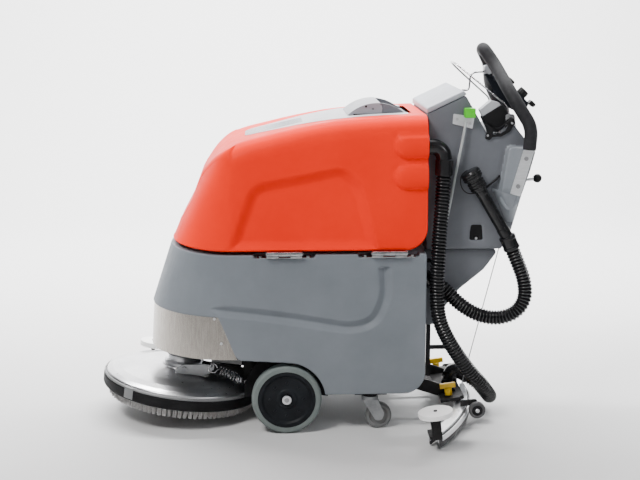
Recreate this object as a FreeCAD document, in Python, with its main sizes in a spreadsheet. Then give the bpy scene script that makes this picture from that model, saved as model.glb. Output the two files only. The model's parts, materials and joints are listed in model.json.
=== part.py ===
"""Walk-behind scrubber-dryer: two tanks, a tilting round brush deck, a curved squeegee and a rear control column.

Millimetres. +Z is up, -X is the front, -Y is the operator's left. The floor is Z = 0, the drive axle is at X = -100.
The deck and the squeegee are drawn level on the floor, then turned into their raised transport position.
"""
import FreeCAD, Part
import math
import os
import re
from FreeCAD import Placement, Rotation, Vector

X_AXIS = Vector(1, 0, 0)
Y_AXIS = Vector(0, 1, 0)
Z_AXIS = Vector(0, 0, 1)
SIDES = (("left", -1), ("right", 1))

DIMENSIONS = {
    # whole machine
    "body_width": (500, "tanks over their side walls"),
    "wall": (5, "moulded tank wall"),
    "seam_height": (520, "top of the lower tank"),
    "nose_height": (343, "underside of the lower tank's nose"),
    "hood_floor": (530, "underside of the recovery tank"),
    "rear_wall": (293, "rear face of both tanks"),
    "nose_centre": (-245, "where the rounded nose starts"),
    # wheels
    "axle_place": (-100, "drive axle, along X"),
    "wheel_diameter": (200, "drive wheel over its tyre"),
    "rim_diameter": (164, "drive wheel rim"),
    "wheel_width": (44, "drive wheel"),
    "wheel_track": (225, "drive wheel middle, from the centre line"),
    "axle_diameter": (20, "drive axle"),
    "shaft_gap": (0.05, "running clearance on a shaft, on the radius"),
    "caster_diameter": (75, "caster wheel"),
    "caster_width": (28, "caster wheel"),
    "caster_place": (140, "caster swivel axis, along X"),
    "caster_track": (197, "caster swivel axis, from the centre line"),
    "caster_trail": (25, "caster axle behind its swivel axis"),
    # scrub deck
    "deck_place": (-404, "deck middle, along X"),
    "deck_raise": (7.5, "degrees, transport position"),
    # squeegee
    "squeegee_radius": (640, "outer face of the rear blade"),
    "squeegee_centre": (-196, "middle of that arc, along X"),
    "squeegee_half_angle": (38.2, "degrees"),
    "squeegee_pivot_place": (270, "lift hinge, along X"),
    "squeegee_pivot_height": (105, "lift hinge"),
    "squeegee_raise": (7.5, "degrees, transport position"),
    "wall_roller_diameter": (95, "white corner rollers"),
    # column, handle, hoses
    "column_half": (170, "column side wall, from the centre line"),
    "housing_half": (150, "lower rear housing, from the centre line"),
    "handle_tube": (25, "steel tube"),
    "grip_diameter": (37, "foam sleeve"),
    "control_half": (80, "control housing's side, from the centre line"),
    "hose_diameter": (43, "both large hoses"),
    "wand_diameter": (36, "drain wand"),
    "wire_diameter": (5, "bail and stay"),
}

doc = FreeCAD.newDocument("ScrubberDryer")
sheet = doc.addObject("Spreadsheet::Sheet", "Dimensions")
for row, (alias, (value, meaning)) in enumerate(DIMENSIONS.items(), start=1):
    sheet.set("A%d" % row, meaning)
    sheet.set("B%d" % row, str(value))
    sheet.setAlias("B%d" % row, alias)
doc.recompute()


def size(alias):
    """A driving dimension, read from the sheet."""
    return float(sheet.get(alias))


def bind(obj, **formulas):
    """Bind properties to formulas that name the sheet's aliases."""
    for prop, formula in formulas.items():
        text = re.sub(r"[a-z_]+", lambda word: "Dimensions." + word.group(), str(formula))
        obj.setExpression(prop, text)
    return obj


# ---------------------------------------------------------------- primitives whose sizes follow the sheet

def cylinder(name, radius, length, start, axis=Z_AXIS):
    obj = bind(doc.addObject("Part::Cylinder", name), Radius=radius, Height=length)
    obj.Placement = Placement(start, Rotation(Z_AXIS, axis))
    return obj


def centred_cylinder(name, radius, length, middle, axis=Y_AXIS):
    half = float(length) if not isinstance(length, str) else value_of(length)
    return cylinder(name, radius, length, middle - axis * (half / 2), axis)


def value_of(formula):
    """A formula over the sheet's aliases, as a number."""
    total = 1.0
    for word in formula.split(" * "):
        total *= float(word) if re.match(r"[0-9.]+$", word) else size(word)
    return total


def block(name, length, width, height, corner):
    obj = bind(doc.addObject("Part::Box", name), Length=length, Width=width, Height=height)
    obj.Placement = Placement(corner, Rotation())
    return obj


def ball(name, radius, centre):
    obj = bind(doc.addObject("Part::Sphere", name), Radius=radius)
    obj.Placement = Placement(centre, Rotation())
    return obj


def cut(name, base, *tools):
    obj = doc.addObject("Part::Cut", name)
    obj.Base = base
    obj.Tool = tools[0] if len(tools) == 1 else fuse(name + "_tools", *tools)
    return obj


def fuse(name, *parts):
    obj = doc.addObject("Part::MultiFuse", name)
    obj.Shapes = list(parts)
    return obj


def group(name, *parts):
    """Separate solids of one kind, kept together in one sub-part."""
    obj = doc.addObject("Part::Compound", name)
    obj.Links = list(parts)
    return obj


def feature(name, shape):
    obj = doc.addObject("Part::Feature", name)
    obj.Shape = shape
    obj.Placement = Placement()
    return obj


# ---------------------------------------------------------------- outlines

def rounded_edges(points, place):
    """A closed outline of lines and tangent corner arcs. A point is (u, v) or (u, v, corner radius)."""
    corners = []
    count = len(points)
    for index, point in enumerate(points):
        here = Vector(point[0], point[1], 0)
        back = (Vector(*points[index - 1][:2], 0) - here).normalize()
        ahead = (Vector(*points[(index + 1) % count][:2], 0) - here).normalize()
        radius = point[2] if len(point) > 2 else 0
        half = back.getAngle(ahead) / 2
        if not radius:
            corners.append((here, None, here))
            continue
        reach = radius / math.tan(half)
        centre = here + (back + ahead).normalize() * (radius / math.sin(half))
        middle = centre + (here - centre).normalize() * radius
        corners.append((here + back * reach, middle, here + ahead * reach))
    edges = []
    for index, (start, middle, end) in enumerate(corners):
        if middle:
            edges.append(Part.Arc(place(start), place(middle), place(end)))
        following = corners[(index + 1) % count][0]
        if (following - end).Length > 1e-6:
            edges.append(Part.LineSegment(place(end), place(following)))
    return edges


def flat(point):
    return point


def upright(y):
    """Outline (x, z) in the plane across the machine at y."""
    return lambda point: Vector(point.x, y, point.y)


def level(z):
    """Outline (x, y) in the horizontal plane at z."""
    return lambda point: Vector(point.x, point.y, z)


def wire(points, place):
    return Part.Wire([edge.toShape() for edge in rounded_edges(points, place)])


def prism(points, place, travel):
    return Part.Face(wire(points, place)).extrude(travel)


def side_plate(name, outline, thickness, y=0):
    """A Body padded evenly both ways across the machine from an (x, z) outline."""
    return padded(name, "XZ_Plane", outline, thickness, Vector(0, y, 0))


def padded(name, plane, outline, thickness, shift):
    body = doc.addObject("PartDesign::Body", name)
    sketch = body.newObject("Sketcher::SketchObject", name + "_sketch")
    origin_plane = [item for item in body.Origin.OriginFeatures if item.Role == plane][0]
    sketch.AttachmentSupport = [(origin_plane, "")]
    sketch.MapMode = "FlatFace"
    sketch.addGeometry(rounded_edges(outline, flat), False)
    pad = body.newObject("PartDesign::Pad", name + "_pad")
    pad.Profile = sketch
    pad.SideType = "Symmetric"
    bind(pad, Length=thickness)
    body.Tip = pad
    body.Placement = Placement(shift, Rotation())
    return body


def turned(name, outline, centre):
    """A Body revolved about the upright axis through centre; the outline is (radius, z)."""
    body = doc.addObject("PartDesign::Body", name)
    sketch = body.newObject("Sketcher::SketchObject", name + "_sketch")
    origin_plane = [item for item in body.Origin.OriginFeatures if item.Role == "XZ_Plane"][0]
    sketch.AttachmentSupport = [(origin_plane, "")]
    sketch.MapMode = "FlatFace"
    sketch.addGeometry(rounded_edges(outline, flat), False)
    spin = body.newObject("PartDesign::Revolution", name + "_revolution")
    spin.Profile = sketch
    spin.ReferenceAxis = (sketch, ["V_Axis"])
    spin.Angle = 360
    body.Tip = spin
    body.Placement = Placement(centre, Rotation())
    return body


# ---------------------------------------------------------------- tubes along a route

def route_wire(points, label=None):
    """Straight runs joined by tangent arcs; each arc is as large as its two runs allow."""
    edges = []
    position = points[0]
    radii = []
    for before, corner, after in zip(points, points[1:], points[2:]):
        back = before - corner
        ahead = after - corner
        reach = 0.45 * min(back.Length, ahead.Length)
        half_turn = (math.pi - back.getAngle(ahead)) / 2
        radius = reach / math.tan(half_turn)
        radii.append(round(radius))
        back.normalize()
        ahead.normalize()
        start = corner + back * reach
        end = corner + ahead * reach
        inward = (back + ahead).normalize()
        middle = corner + inward * (radius / math.cos(half_turn) - radius)
        edges.append(Part.LineSegment(position, start).toShape())
        edges.append(Part.Arc(start, middle, end).toShape())
        position = end
    edges.append(Part.LineSegment(position, points[-1]).toShape())
    path = Part.Wire(edges)
    if label:
        print("%s: length %.0f mm, bend radii %s" % (label, path.Length, radii))
    return path


def swept(points, diameter, label=None):
    """A round solid bar along a route."""
    path = route_wire(points, label)
    ring = Part.Wire(Part.makeCircle(diameter / 2, points[0], points[1] - points[0]))
    bar = path.makePipeShell([ring], True, False)
    expected = math.pi * diameter ** 2 / 4 * path.Length
    if abs(bar.Volume / expected - 1) > 0.02:
        raise RuntimeError("tube volume is off: %s" % label)
    return bar


# ================================================================ lower tank and its steel cover

HALF = size("body_width") / 2
REAR = size("rear_wall")
SEAM = size("seam_height")
NOSE = size("nose_height")
AXLE = Vector(size("axle_place"), 0, size("wheel_diameter") / 2)


def nose_plan(z, tip, half):
    """Horizontal outline of a tank: a half ellipse in front and a straight-sided tail."""
    start = size("nose_centre")
    ellipse = Part.Ellipse(Vector(start, half, z), Vector(tip, 0, z), Vector(start, 0, z))
    return Part.Wire([
        Part.ArcOfEllipse(ellipse, 0, math.pi).toShape(),
        Part.LineSegment(Vector(start, -half, z), Vector(REAR, -half, z)).toShape(),
        Part.LineSegment(Vector(REAR, -half, z), Vector(REAR, half, z)).toShape(),
        Part.LineSegment(Vector(REAR, half, z), Vector(start, half, z)).toShape(),
    ])


def nose_loft(low, high):
    return Part.makeLoft([nose_plan(*low), nose_plan(*high)], True, True)


GROOVE_WIDTH = 40
GROOVE_DEPTH = 12
GROOVE_ROUTE = ((-330, 369), (-110, 342), (80, 308), (148, 326), (181, 400), (174, 484))


def side_groove(side):
    """The V-shaped styling channel that runs back along the tank's side and turns up."""
    route = [Vector(x, side * HALF, z) for x, z in GROOVE_ROUTE]
    path = route_wire(route)
    along = (route[1] - route[0]).normalize()
    across = along.cross(Y_AXIS)
    lip = Y_AXIS * side
    start = route[0]
    edge = across * GROOVE_WIDTH / 2
    mouth = (start + edge + lip, start - lip * GROOVE_DEPTH, start - edge + lip)
    section = Part.makePolygon([*mouth, mouth[0]])
    return path.makePipeShell([section], True, False)


ARCH_RADIUS = 110
TANK_FLOOR = 115
PAD_DEPTH = 6


def solution_tank():
    """Lower tank with its wheel arches, battery well, hinge recesses, side grooves and a pad for a jack."""
    nose = nose_loft((NOSE, -489, HALF), (SEAM, -431, HALF))
    lower = prism(((-297, 360), (-239, 219, 25), (AXLE.x, AXLE.z + ARCH_RADIUS), (AXLE.x, TANK_FLOOR),
                   (REAR, TANK_FLOOR, 62),
                   (REAR, 360)), upright(-HALF), Vector(0, 2 * HALF, 0))
    arch = Part.makeCylinder(ARCH_RADIUS, 2 * HALF, Vector(AXLE.x, -HALF, AXLE.z), Y_AXIS)
    shell = nose.fuse(lower.cut(arch)).removeSplitter()
    well = Part.makeBox(440, 310, 300, Vector(-190, -155, 236))
    bulk = shell.cut(well)
    for place in HINGE_PLACES:
        corner = Vector(place - HINGE_RECESS / 2, -HALF - 10, SEAM - 9)
        bulk = bulk.cut(Part.makeBox(HINGE_RECESS, 50, 20, corner))
    for side in (-1, 1):
        bulk = bulk.cut(side_groove(side))
    pad = Part.makeBox(80, 120, PAD_DEPTH, Vector(0, -60, TANK_FLOOR - PAD_DEPTH))
    return feature("solution_tank", bulk.fuse(pad))


HINGE_PLACES = (-105, 187)
HINGE_RECESS = 172
HINGE_AXIS = Vector(0, -259, 525)


def front_cover():
    """Brushed steel sheet bent round the brush motor."""
    foot = 217
    tall = NOSE - foot
    outer = Part.makeCone(236, 228, tall, Vector(-258, 0, foot))
    inner = Part.makeCone(234, 226, tall, Vector(-258, 0, foot))
    behind = prism(((-297.5, 360), (-231.5, 200), (100, 200), (100, 360)), upright(-300), Vector(0, 600, 0))
    return feature("front_cover", outer.cut(inner).cut(behind))


def cover_screws():
    heads = []
    for side in (-1, 1):
        for x, y, z in ((-302, 225, 335), (-283, 232.1, 265)):
            heads.append(cylinder("cover_screw_%d_%d" % (z, side), 4, 3, Vector(x, side * y, z), Y_AXIS * side))
    return heads


# ================================================================ recovery tank (the tilting hood)

HOOD_TOP = ((-352, 680), (-336, 728), (-315, 761), (-291, 789), (-256, 814), (-216, 831), (-141, 850), (-58, 869),
            (53, 888), (192, 898), (301, 902))
DRUM = Vector(165, 0, 805)
DRUM_RADIUS = 123
LID_PIN = Vector(152, 0, 911)


def hood_cap(offset):
    """Everything under the hood's top line, lowered by offset."""
    curve = Part.BSplineCurve()
    curve.interpolate([Vector(x, -300, z - offset) for x, z in HOOD_TOP])
    first = Vector(HOOD_TOP[0][0], -300, HOOD_TOP[0][1] - offset)
    last = Vector(HOOD_TOP[-1][0], -300, HOOD_TOP[-1][1] - offset)
    corners = [last, Vector(last.x, -300, 500), Vector(-470, -300, 500), Vector(-470, -300, 560), first]
    edges = [curve.toShape()]
    edges += [Part.LineSegment(a, b).toShape() for a, b in zip(corners, corners[1:])]
    return Part.Face(Part.Wire(edges)).extrude(Vector(0, 600, 0))


def hood_solid(offset):
    floor = size("hood_floor") + offset
    low = (floor, -426 + offset, HALF - offset)
    high = (930, -254 + offset, 238 - offset)
    return nose_loft(low, high).common(hood_cap(offset))


RECESS = ((-257, 530), (-200, 722, 45), (60, 762, 60), (105, 722, 60), (134, 530))
RECESS_FLOOR = ((-222, 530), (-172, 690, 40), (50, 724, 60), (88, 690, 50), (112, 530))
RECESS_DEPTH = 12


def side_recess(side):
    outer = wire(RECESS, upright(side * (HALF + 2)))
    inner = wire(RECESS_FLOOR, upright(side * (HALF - RECESS_DEPTH)))
    return Part.makeLoft([outer, inner], True, True)


BULGE_RADIUS = 46
BULGE_RISE = 12
BULGE_HEIGHTS = (822, 734)


def side_bulge(side, z):
    """A finger-like swelling at the hood's rear edge."""
    axis_y = side * (HALF + BULGE_RISE - BULGE_RADIUS)
    tip = Part.makeSphere(BULGE_RADIUS, Vector(238, axis_y, z))
    run = Part.makeCylinder(BULGE_RADIUS, REAR - 238, Vector(238, axis_y, z), X_AXIS)
    outside = Part.makeBox(200, 40, 200, Vector(REAR - 200, side * 228 - (40 if side < 0 else 0), z - 100))
    return tip.fuse(run).common(outside)


def lid_opening():
    return Part.makeBox(170, 204, 60, Vector(84, -102, 850))


def recovery_hood():
    outer = hood_solid(0)
    for side in (-1, 1):
        outer = outer.cut(side_recess(side))
        for z in BULGE_HEIGHTS:
            outer = outer.fuse(side_bulge(side, z))
    inner = hood_solid(RECESS_DEPTH + size("wall"))
    seat = top_panel_plan(Vector(0, 0, 300)).common(hood_solid(0).cut(hood_solid(6)))
    return feature("recovery_hood", outer.cut(inner).cut(lid_opening()).cut(seat))


def top_panel_plan(travel):
    """The tapering outline of the light panel in the hood's top."""
    outline = ((-212, -70, 30), (70, -150, 40), (250, -150, 20), (250, 150, 20), (70, 150, 40), (-212, 70, 30))
    return prism(outline, level(700), travel)


def hood_top_panel():
    slab = top_panel_plan(Vector(0, 0, 300)).common(hood_cap(-1).cut(hood_cap(6)))
    return feature("hood_top_panel", slab.cut(lid_opening()))


def drum(radius, half):
    return Part.makeCylinder(radius, 2 * half, Vector(DRUM.x, -half, DRUM.z), Y_AXIS)


def tank_lid():
    """Front half of the drum-shaped cover, which swings back on its pin."""
    shell = drum(DRUM_RADIUS, 100).cut(drum(DRUM_RADIUS - 4, 96))
    keep = Part.makeBox(LID_PIN.x - 60, 200, 60, Vector(60, -100, 893))
    nose = Part.makeCylinder(27, 200, Vector(LID_PIN.x, -100, LID_PIN.z), Y_AXIS)
    nose = nose.common(Part.makeBox(60, 200, 60, Vector(LID_PIN.x - 1, -100, 893)))
    bore = Part.makeCylinder(3 + size("shaft_gap"), 200, Vector(LID_PIN.x, -100, LID_PIN.z), Y_AXIS)
    return feature("tank_lid", shell.common(keep.fuse(nose)).cut(bore))


def lid_pin():
    return centred_cylinder("lid_pin", 3, 200, LID_PIN)


def lid_cradle():
    """Rear half of the drum: two cheeks with a finger recess between them."""
    cheeks = drum(DRUM_RADIUS - 1, 100).cut(drum(DRUM_RADIUS + 1, 88))
    floor = Part.makeBox(80, 176, 3, Vector(172, -88, 893))
    room = Part.makeCylinder(28, 300, Vector(LID_PIN.x, -150, LID_PIN.z), Y_AXIS)
    span = Part.makeBox(100, 220, 60, Vector(LID_PIN.x, -110, 893))
    return feature("cradle_shell", cheeks.fuse(floor).common(span).cut(room))


# ---------------------------------------------------------------- hinges along the left edge

KNUCKLE = 32
KNUCKLE_GAP = 1


def hinge_leaves(name, shifts, leaf_length, leaf_z):
    """The leaves of both hinges that belong to one tank, each with its knuckles and their webs."""
    leaves = []
    for place in HINGE_PLACES:
        leaf = Part.makeBox(leaf_length, 34, 2, Vector(place - leaf_length / 2, HINGE_AXIS.y + 9, leaf_z))
        for shift in shifts:
            start = Vector(place + shift - KNUCKLE / 2, HINGE_AXIS.y, HINGE_AXIS.z)
            low = min(leaf_z, HINGE_AXIS.z)
            web = Part.makeBox(KNUCKLE, 3, max(leaf_z + 2, HINGE_AXIS.z) - low, Vector(start.x, start.y + 6, low))
            foot = Part.makeBox(KNUCKLE, 6, 2, Vector(start.x, start.y + 6, leaf_z))
            leaf = leaf.fuse([Part.makeCylinder(7, KNUCKLE, start, X_AXIS), web, foot])
        bore_start = Vector(place - 100, HINGE_AXIS.y, HINGE_AXIS.z)
        leaves.append(leaf.cut(Part.makeCylinder(3 + size("shaft_gap"), 200, bore_start, X_AXIS)))
    return feature(name, Part.makeCompound(leaves))


def hinge_pins():
    return [centred_cylinder("hinge_pin_%d" % index, 3, 102, Vector(place, HINGE_AXIS.y, HINGE_AXIS.z), X_AXIS)
            for index, place in enumerate(HINGE_PLACES)]


def hinge_screws():
    return [cylinder("hinge_screw_%d_%d" % (place, shift), 4.5, 3, Vector(place + shift, -238, SEAM - 7))
            for place in HINGE_PLACES for shift in (-66, 66)]


# ================================================================ rear column, handle and controls

COLUMN = ((300, 516), (300, 905, 12), (405, 955, 8), (470, 843, 10), (505, 843, 8), (537, 879, 10), (578, 828, 10),
          (607, 794, 8), (592, 737, 40), (571, 672), (543, 571), (516, 516))
HOUSING = ((293, 290), (293, 513), (516, 513, 10), (471, 452, 60), (400, 394, 60), (358, 339, 20), (352, 290, 8))
LEVER_PIVOT = Vector(470, -100, 690)
LEVER_KNOB = Vector(628.7, -100, 709)


def hollow_prism(outline, half):
    wall = size("wall")
    outer = prism(outline, upright(-half), Vector(0, 2 * half, 0))
    hollow = wire(outline, upright(0)).makeOffset2D(-wall)
    core = Part.Face(hollow).extrude(Vector(0, half - wall, 0))
    return outer.cut(core).cut(core.mirror(Vector(0, 0, 0), Y_AXIS))


def rear_column():
    half = size("column_half")
    shell = hollow_prism(COLUMN, half)
    socket = swept(mirrored_route(HANDLE_HALF), size("grip_diameter") + 0.1)
    for side in (-1, 1):
        ear = prism(((526, 812, 12), (600, 806, 8), (559, 655, 20), (528, 622, 14), (503, 660, 20)),
                    upright(side * half), Vector(0, side * 25, 0))
        shell = shell.fuse(ear.cut(socket))
    slot = Part.makeBox(100, 16, 84, Vector(540, LEVER_PIVOT.y - 8, 634))
    pocket = prism(((425, 590, 4), (420, 540, 4), (466, 540, 4), (461, 590, 4)), upright(-half - 1),
                   Vector(0, 4, 0))
    return feature("rear_column", shell.cut(slot).cut(pocket))


def column_cap():
    lip = ((297, 903.6), (297, 919, 5), (399, 967, 4), (408, 956.5))
    return side_plate("column_cap", lip, "column_half * 2 + 6")


def rear_housing():
    return feature("rear_housing", hollow_prism(HOUSING, size("housing_half")))


def vacuum_motor():
    body = cylinder("vacuum_motor_can", 58, 90, Vector(385, 55, 640))
    head = cylinder("vacuum_motor_head", 68, 40, Vector(385, 55, 730))
    return fuse("vacuum_motor", body, head)


HANDLE_HALF = ((582, -200, 804), (587, -200, 866), (533, -168, 955.7), (506.6, -48, 1031), (480, -18, 1074.3))


def mirrored_route(half):
    """A route from the left end to the middle, carried on to the right end."""
    left = [Vector(*point) for point in half]
    return left + [Vector(point.x, -point.y, point.z) for point in reversed(left)]


def handle_frame():
    """Steel tube with a flattened strip at each end, where it is bolted to the column."""
    tube = swept(mirrored_route(HANDLE_HALF), size("handle_tube"))
    foot = Vector(*HANDLE_HALF[0])
    low = Vector(546, foot.y, 676)
    run = low - foot
    across = Vector(-run.z, 0, run.x).normalize() * 15
    outline = [(point.x, point.z, 3) for point in (foot + across, foot - across, low - across, low + across)]
    strips = [prism(outline, upright(side * 195), Vector(0, side * 4, 0)) for side in (-1, 1)]
    return feature("handle_frame", tube.fuse(strips))


def handle_grip(frame):
    """Foam sleeve over the whole tube."""
    sleeve = swept(mirrored_route(HANDLE_HALF), size("grip_diameter"), "handle grip")
    return feature("handle_grip", sleeve.cut(frame.Shape))


def handle_screws():
    return [cylinder("handle_screw_%d_%d" % (z, side), 6, 3, Vector(x, side * 199, z), Y_AXIS * side)
            for x, z in ((574, 779), (553, 701)) for side in (-1, 1)]


PANEL_NORMAL = Vector(1, 0, 1).normalize()
PANEL_SLOPE = Vector(1, 0, -1).normalize()
PANEL_TOP = Vector(536, 0, 987)


def on_panel(along, y, lift=0):
    return PANEL_TOP + PANEL_SLOPE * along + PANEL_NORMAL * lift + Vector(0, y, 0)


def control_housing():
    """Case and plate let in round the legs of the grip, an arm to each leg, and the clamp for the wire stay."""
    half = size("control_half")
    room = swept(mirrored_route(HANDLE_HALF), size("grip_diameter") + 0.6)
    case = prism(((497, 1001, 6), (534, 989, 4), (602, 921, 4), (592, 903, 8), (566, 897, 12), (536, 936, 8)),
                 upright(-half), Vector(0, 2 * half, 0))
    tab = prism(((477, 1005, 3), (479, 1027, 4), (492, 1031, 4), (504, 996), (497, 990)), upright(-36),
                Vector(0, 30, 0))
    shell = feature("control_case", case.fuse(tab).cut(room))
    skin = Part.makeBox(84, 2 * half - 20, 3)
    skin.Placement = Placement(on_panel(6, 10 - half), Rotation(Y_AXIS, 45))
    plate = feature("control_plate", skin.cut(room))
    arms = []
    for side in (-1, 1):
        arm = Part.makeCylinder(9, 90, Vector(545, side * (half - 1), 942), Y_AXIS * side)
        sleeve = swept(mirrored_route(HANDLE_HALF), size("grip_diameter"))
        arms.append(feature("panel_arm_%d" % side, arm.cut(sleeve).Solids[0]))
    return group("control_housing", shell, plate, *arms)


def panel_knob(name, radius, height, along, y):
    return cylinder(name, radius, height, on_panel(along, y, 3.6), PANEL_NORMAL)


def paddle_switch():
    """A flat paddle on its round pin."""
    blade = side_plate("paddle_blade", ((604, 922, 3), (613, 931, 3), (626, 918, 4), (617, 909, 4)), 34, -52)
    return fuse("paddle_switch", blade, centred_cylinder("paddle_pin", 3, 38, on_panel(104, -52, 8)))


BAIL_PIVOT = Vector(532, 0, 893)
BAIL_HALF = ((532, -150, 893), (527.8, -150, 921), (506, -142, 939.5), (425, -86, 1007), (392, -52, 1036))


def wire_bail():
    """Sprung wire lever in front of the grip, hung on two pins."""
    wire_bar = swept(mirrored_route(BAIL_HALF), size("wire_diameter"))
    for side in (-1, 1):
        eye = Part.makeCylinder(8, 8, Vector(BAIL_PIVOT.x, side * 150 - 4, BAIL_PIVOT.z), Y_AXIS)
        start = Vector(BAIL_PIVOT.x, side * 150 - 10, BAIL_PIVOT.z)
        bore = Part.makeCylinder(3 + size("shaft_gap"), 20, start, Y_AXIS)
        wire_bar = wire_bar.fuse(eye).cut(bore)
    return feature("wire_bail", wire_bar)


STAY = ((404.5, -100, 963.5), (424, -103, 962), (428, -103, 1013), (464, -103, 1014.5), (481, -36.8, 1014.5))


def wire_fittings():
    """Bail pins on their brackets, the cable stay over the cap and the hook that holds the drain wand."""
    column = prism(COLUMN, upright(-size("column_half")), Vector(0, 2 * size("column_half"), 0))
    parts = []
    for side in (-1, 1):
        blank = prism(((520, 850), (520, 900, 6), (545, 900, 6), (552, 850)), upright(side * 159 - 2.5),
                      Vector(0, 5, 0))
        bracket = feature("bail_bracket_%d" % side, blank.cut(column))
        pin = cylinder("bail_pin_%d" % side, 3, 14, Vector(BAIL_PIVOT.x, side * 145, BAIL_PIVOT.z), Y_AXIS * side)
        parts += [bracket, pin]
    stay = swept(points(STAY), size("wire_diameter"))
    parts.append(feature("cable_stay", stay))
    hook = swept([Vector(505, -169, 727), Vector(500, -176.5, 722), Vector(462, -176.5, 690)], 6)
    parts.append(feature("hose_hook", hook.cut(column)))
    return group("wire_fittings", *parts)


def battery_connector():
    socket = side_plate("battery_socket",
                        ((457, 890, 4), (513, 925, 4), (541, 881, 8), (501, 847, 8), (475, 852, 6)),
                        40, -124)
    plug = side_plate("battery_plug",
                      ((450, 910, 5), (482, 936, 6), (504, 931, 4), (509, 924), (459, 893)), 34, -124)
    return group("battery_connector", socket, plug)


# ================================================================ hoses and their fittings

SUCTION_ELBOW = ((294, -205, 815), (318, -205, 815), (338, -206, 802), (343, -208, 777))
SUCTION_HOSE = (
    (341, -211, 736), (337.3, -216.5, 660), (331, -224, 580), (326, -229, 490), (324, -229, 400), (332, -226, 325),
    (360, -218, 264), (394, -207, 210), (430, -193, 160), (466, -172, 118), (490, -146, 84), (506, -106, 58),
    (510, -62, 46), (503, -24, 52), (483.6, -1, 70.3), (455.8, 0, 88.1),
)
DRAIN_HOSE = (
    (541, -200, 522), (557, -200.5, 485), (578, -203, 432), (583, -203, 378), (556, -202, 335), (504, -200, 319),
    (448, -196, 329), (402, -190, 356), (364, -187, 392), (336, -185, 419), (313, -185, 430),
)
LEVEL_TUBE = (
    (404.5, -184, 882), (396, -184, 826), (380, -185, 745), (366, -185, 660), (350, -184, 575), (337, -184, 494.4),
)
WAND_TOP = Vector(447, -200, 690)
WAND_END = Vector(526, -200, 557)
CAP_TOP = Vector(414.3, -200, 745)
CAP_STRAP = ((408, -203, 748), (393, -204, 739), (388, -205, 718), (393, -205, 697), (409, -205, 682),
             (430, -203, 682), (446, -201, 692))


def points(route):
    return [Vector(*point) for point in route]


def between(name, radius, start, end):
    """A round bar from one point to another."""
    run = end - start
    return cylinder(name, radius, run.Length, start, run)


def suction_elbow():
    bend = points(SUCTION_ELBOW)
    elbow = feature("elbow_bend", swept(bend, 44))
    flange = cylinder("elbow_flange", 28, 5, bend[0], X_AXIS)
    neck = fuse("elbow_body", elbow, flange)
    cuff = between("elbow_cuff", 25, bend[-1], Vector(*SUCTION_HOSE[0]))
    return group("suction_elbow", neck, cuff)


def hose(name, route, diameter):
    return feature(name, swept(points(route), diameter, name))


def suction_hose_parts():
    """The hose in two lengths: the upper one stays with the machine, the lower one moves with the squeegee."""
    route = points(SUCTION_HOSE)
    tube = swept(route, size("hose_diameter"), "suction_hose")
    run = route[6] - route[5]
    beyond = Part.makeCylinder(600, 600, (route[5] + route[6]) / 2, run)
    return feature("suction_hose", tube.cut(beyond)), feature("suction_hose_low", tube.common(beyond))


def drain_wand(hose_run):
    """Tube and cap, and the cuff cut to the end of the hose pushed against it."""
    tube = between("wand_tube", "wand_diameter / 2", WAND_TOP, WAND_END)
    run = Vector(*DRAIN_HOSE[0]) - WAND_END
    cuff = Part.makeCylinder(24, run.Length, WAND_END, run).cut(hose_run.Shape)
    return group("drain_wand", tube, feature("wand_cuff", cuff), *drain_cap())


def drain_cap():
    along = (WAND_TOP - CAP_TOP).normalize()
    neck = between("cap_neck", 25, CAP_TOP + along * 26, WAND_TOP)
    lid = between("cap_lid", 29, CAP_TOP, CAP_TOP + along * 26)
    strap = swept(points(CAP_STRAP), 3.5)
    shell = fuse("drain_cap", neck, lid)
    doc.recompute()
    return [shell, feature("cap_strap", strap.cut(shell.Shape))]


def hose_fittings():
    """The drain spigot and the level-tube elbow on the tanks' rear, and the tap's plate on the column."""
    hose_end = Vector(*DRAIN_HOSE[-1])
    run = (hose_end - Vector(*DRAIN_HOSE[-2])).normalize() * 40
    bar = Part.makeCylinder(24, run.Length, hose_end, run)
    spigot = feature("drain_spigot", bar.cut(Part.makeBox(60, 80, 80, Vector(REAR - 60, hose_end.y - 40, 400))))
    foot = cylinder("level_foot", 6, 49, Vector(REAR, -184, 488), X_AXIS)
    plate = side_plate("tap_plate", ((371, 903, 2), (369, 875, 2), (425, 861, 2), (430, 894, 2)), 3, -171.5)
    return group("hose_fittings", spigot, foot, plate)


TAP = Vector(414, -185, 906)


def green_tap():
    """A square tap block turning on a round stem."""
    tap = side_plate("tap_block", ((399, 893, 3), (399, 920, 3), (430, 920, 3), (430, 893, 3)), 20, TAP.y)
    return fuse("green_tap", tap, cylinder("tap_stem", 7, 3, Vector(414.5, -176.3, 906.5), Y_AXIS))


def tap_screws():
    return [cylinder("tap_screw_%d" % x, 4, 2, Vector(x, -173, z), -Y_AXIS) for x, z in ((381, 888), (418, 876))]


# ================================================================ squeegee lift lever

def lift_lever():
    rod = between("lever_rod", 5, LEVER_PIVOT, LEVER_KNOB)
    hub = centred_cylinder("lever_hub", 13, 14, LEVER_PIVOT)
    bore = centred_cylinder("lever_bore", "5 + shaft_gap", 30, LEVER_PIVOT)
    arm = cut("lever_arm", fuse("lever_blank", rod, hub), bore)
    knob = ball("lever_knob", 13, LEVER_KNOB)
    return group("lift_lever", cut("lever_shaft", arm, ball("lever_knob_room", 13, LEVER_KNOB)), knob)


# ================================================================ drive wheels, casters and brackets

def wheel_middle(side):
    return AXLE + Vector(0, side * size("wheel_track"), 0)


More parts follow.
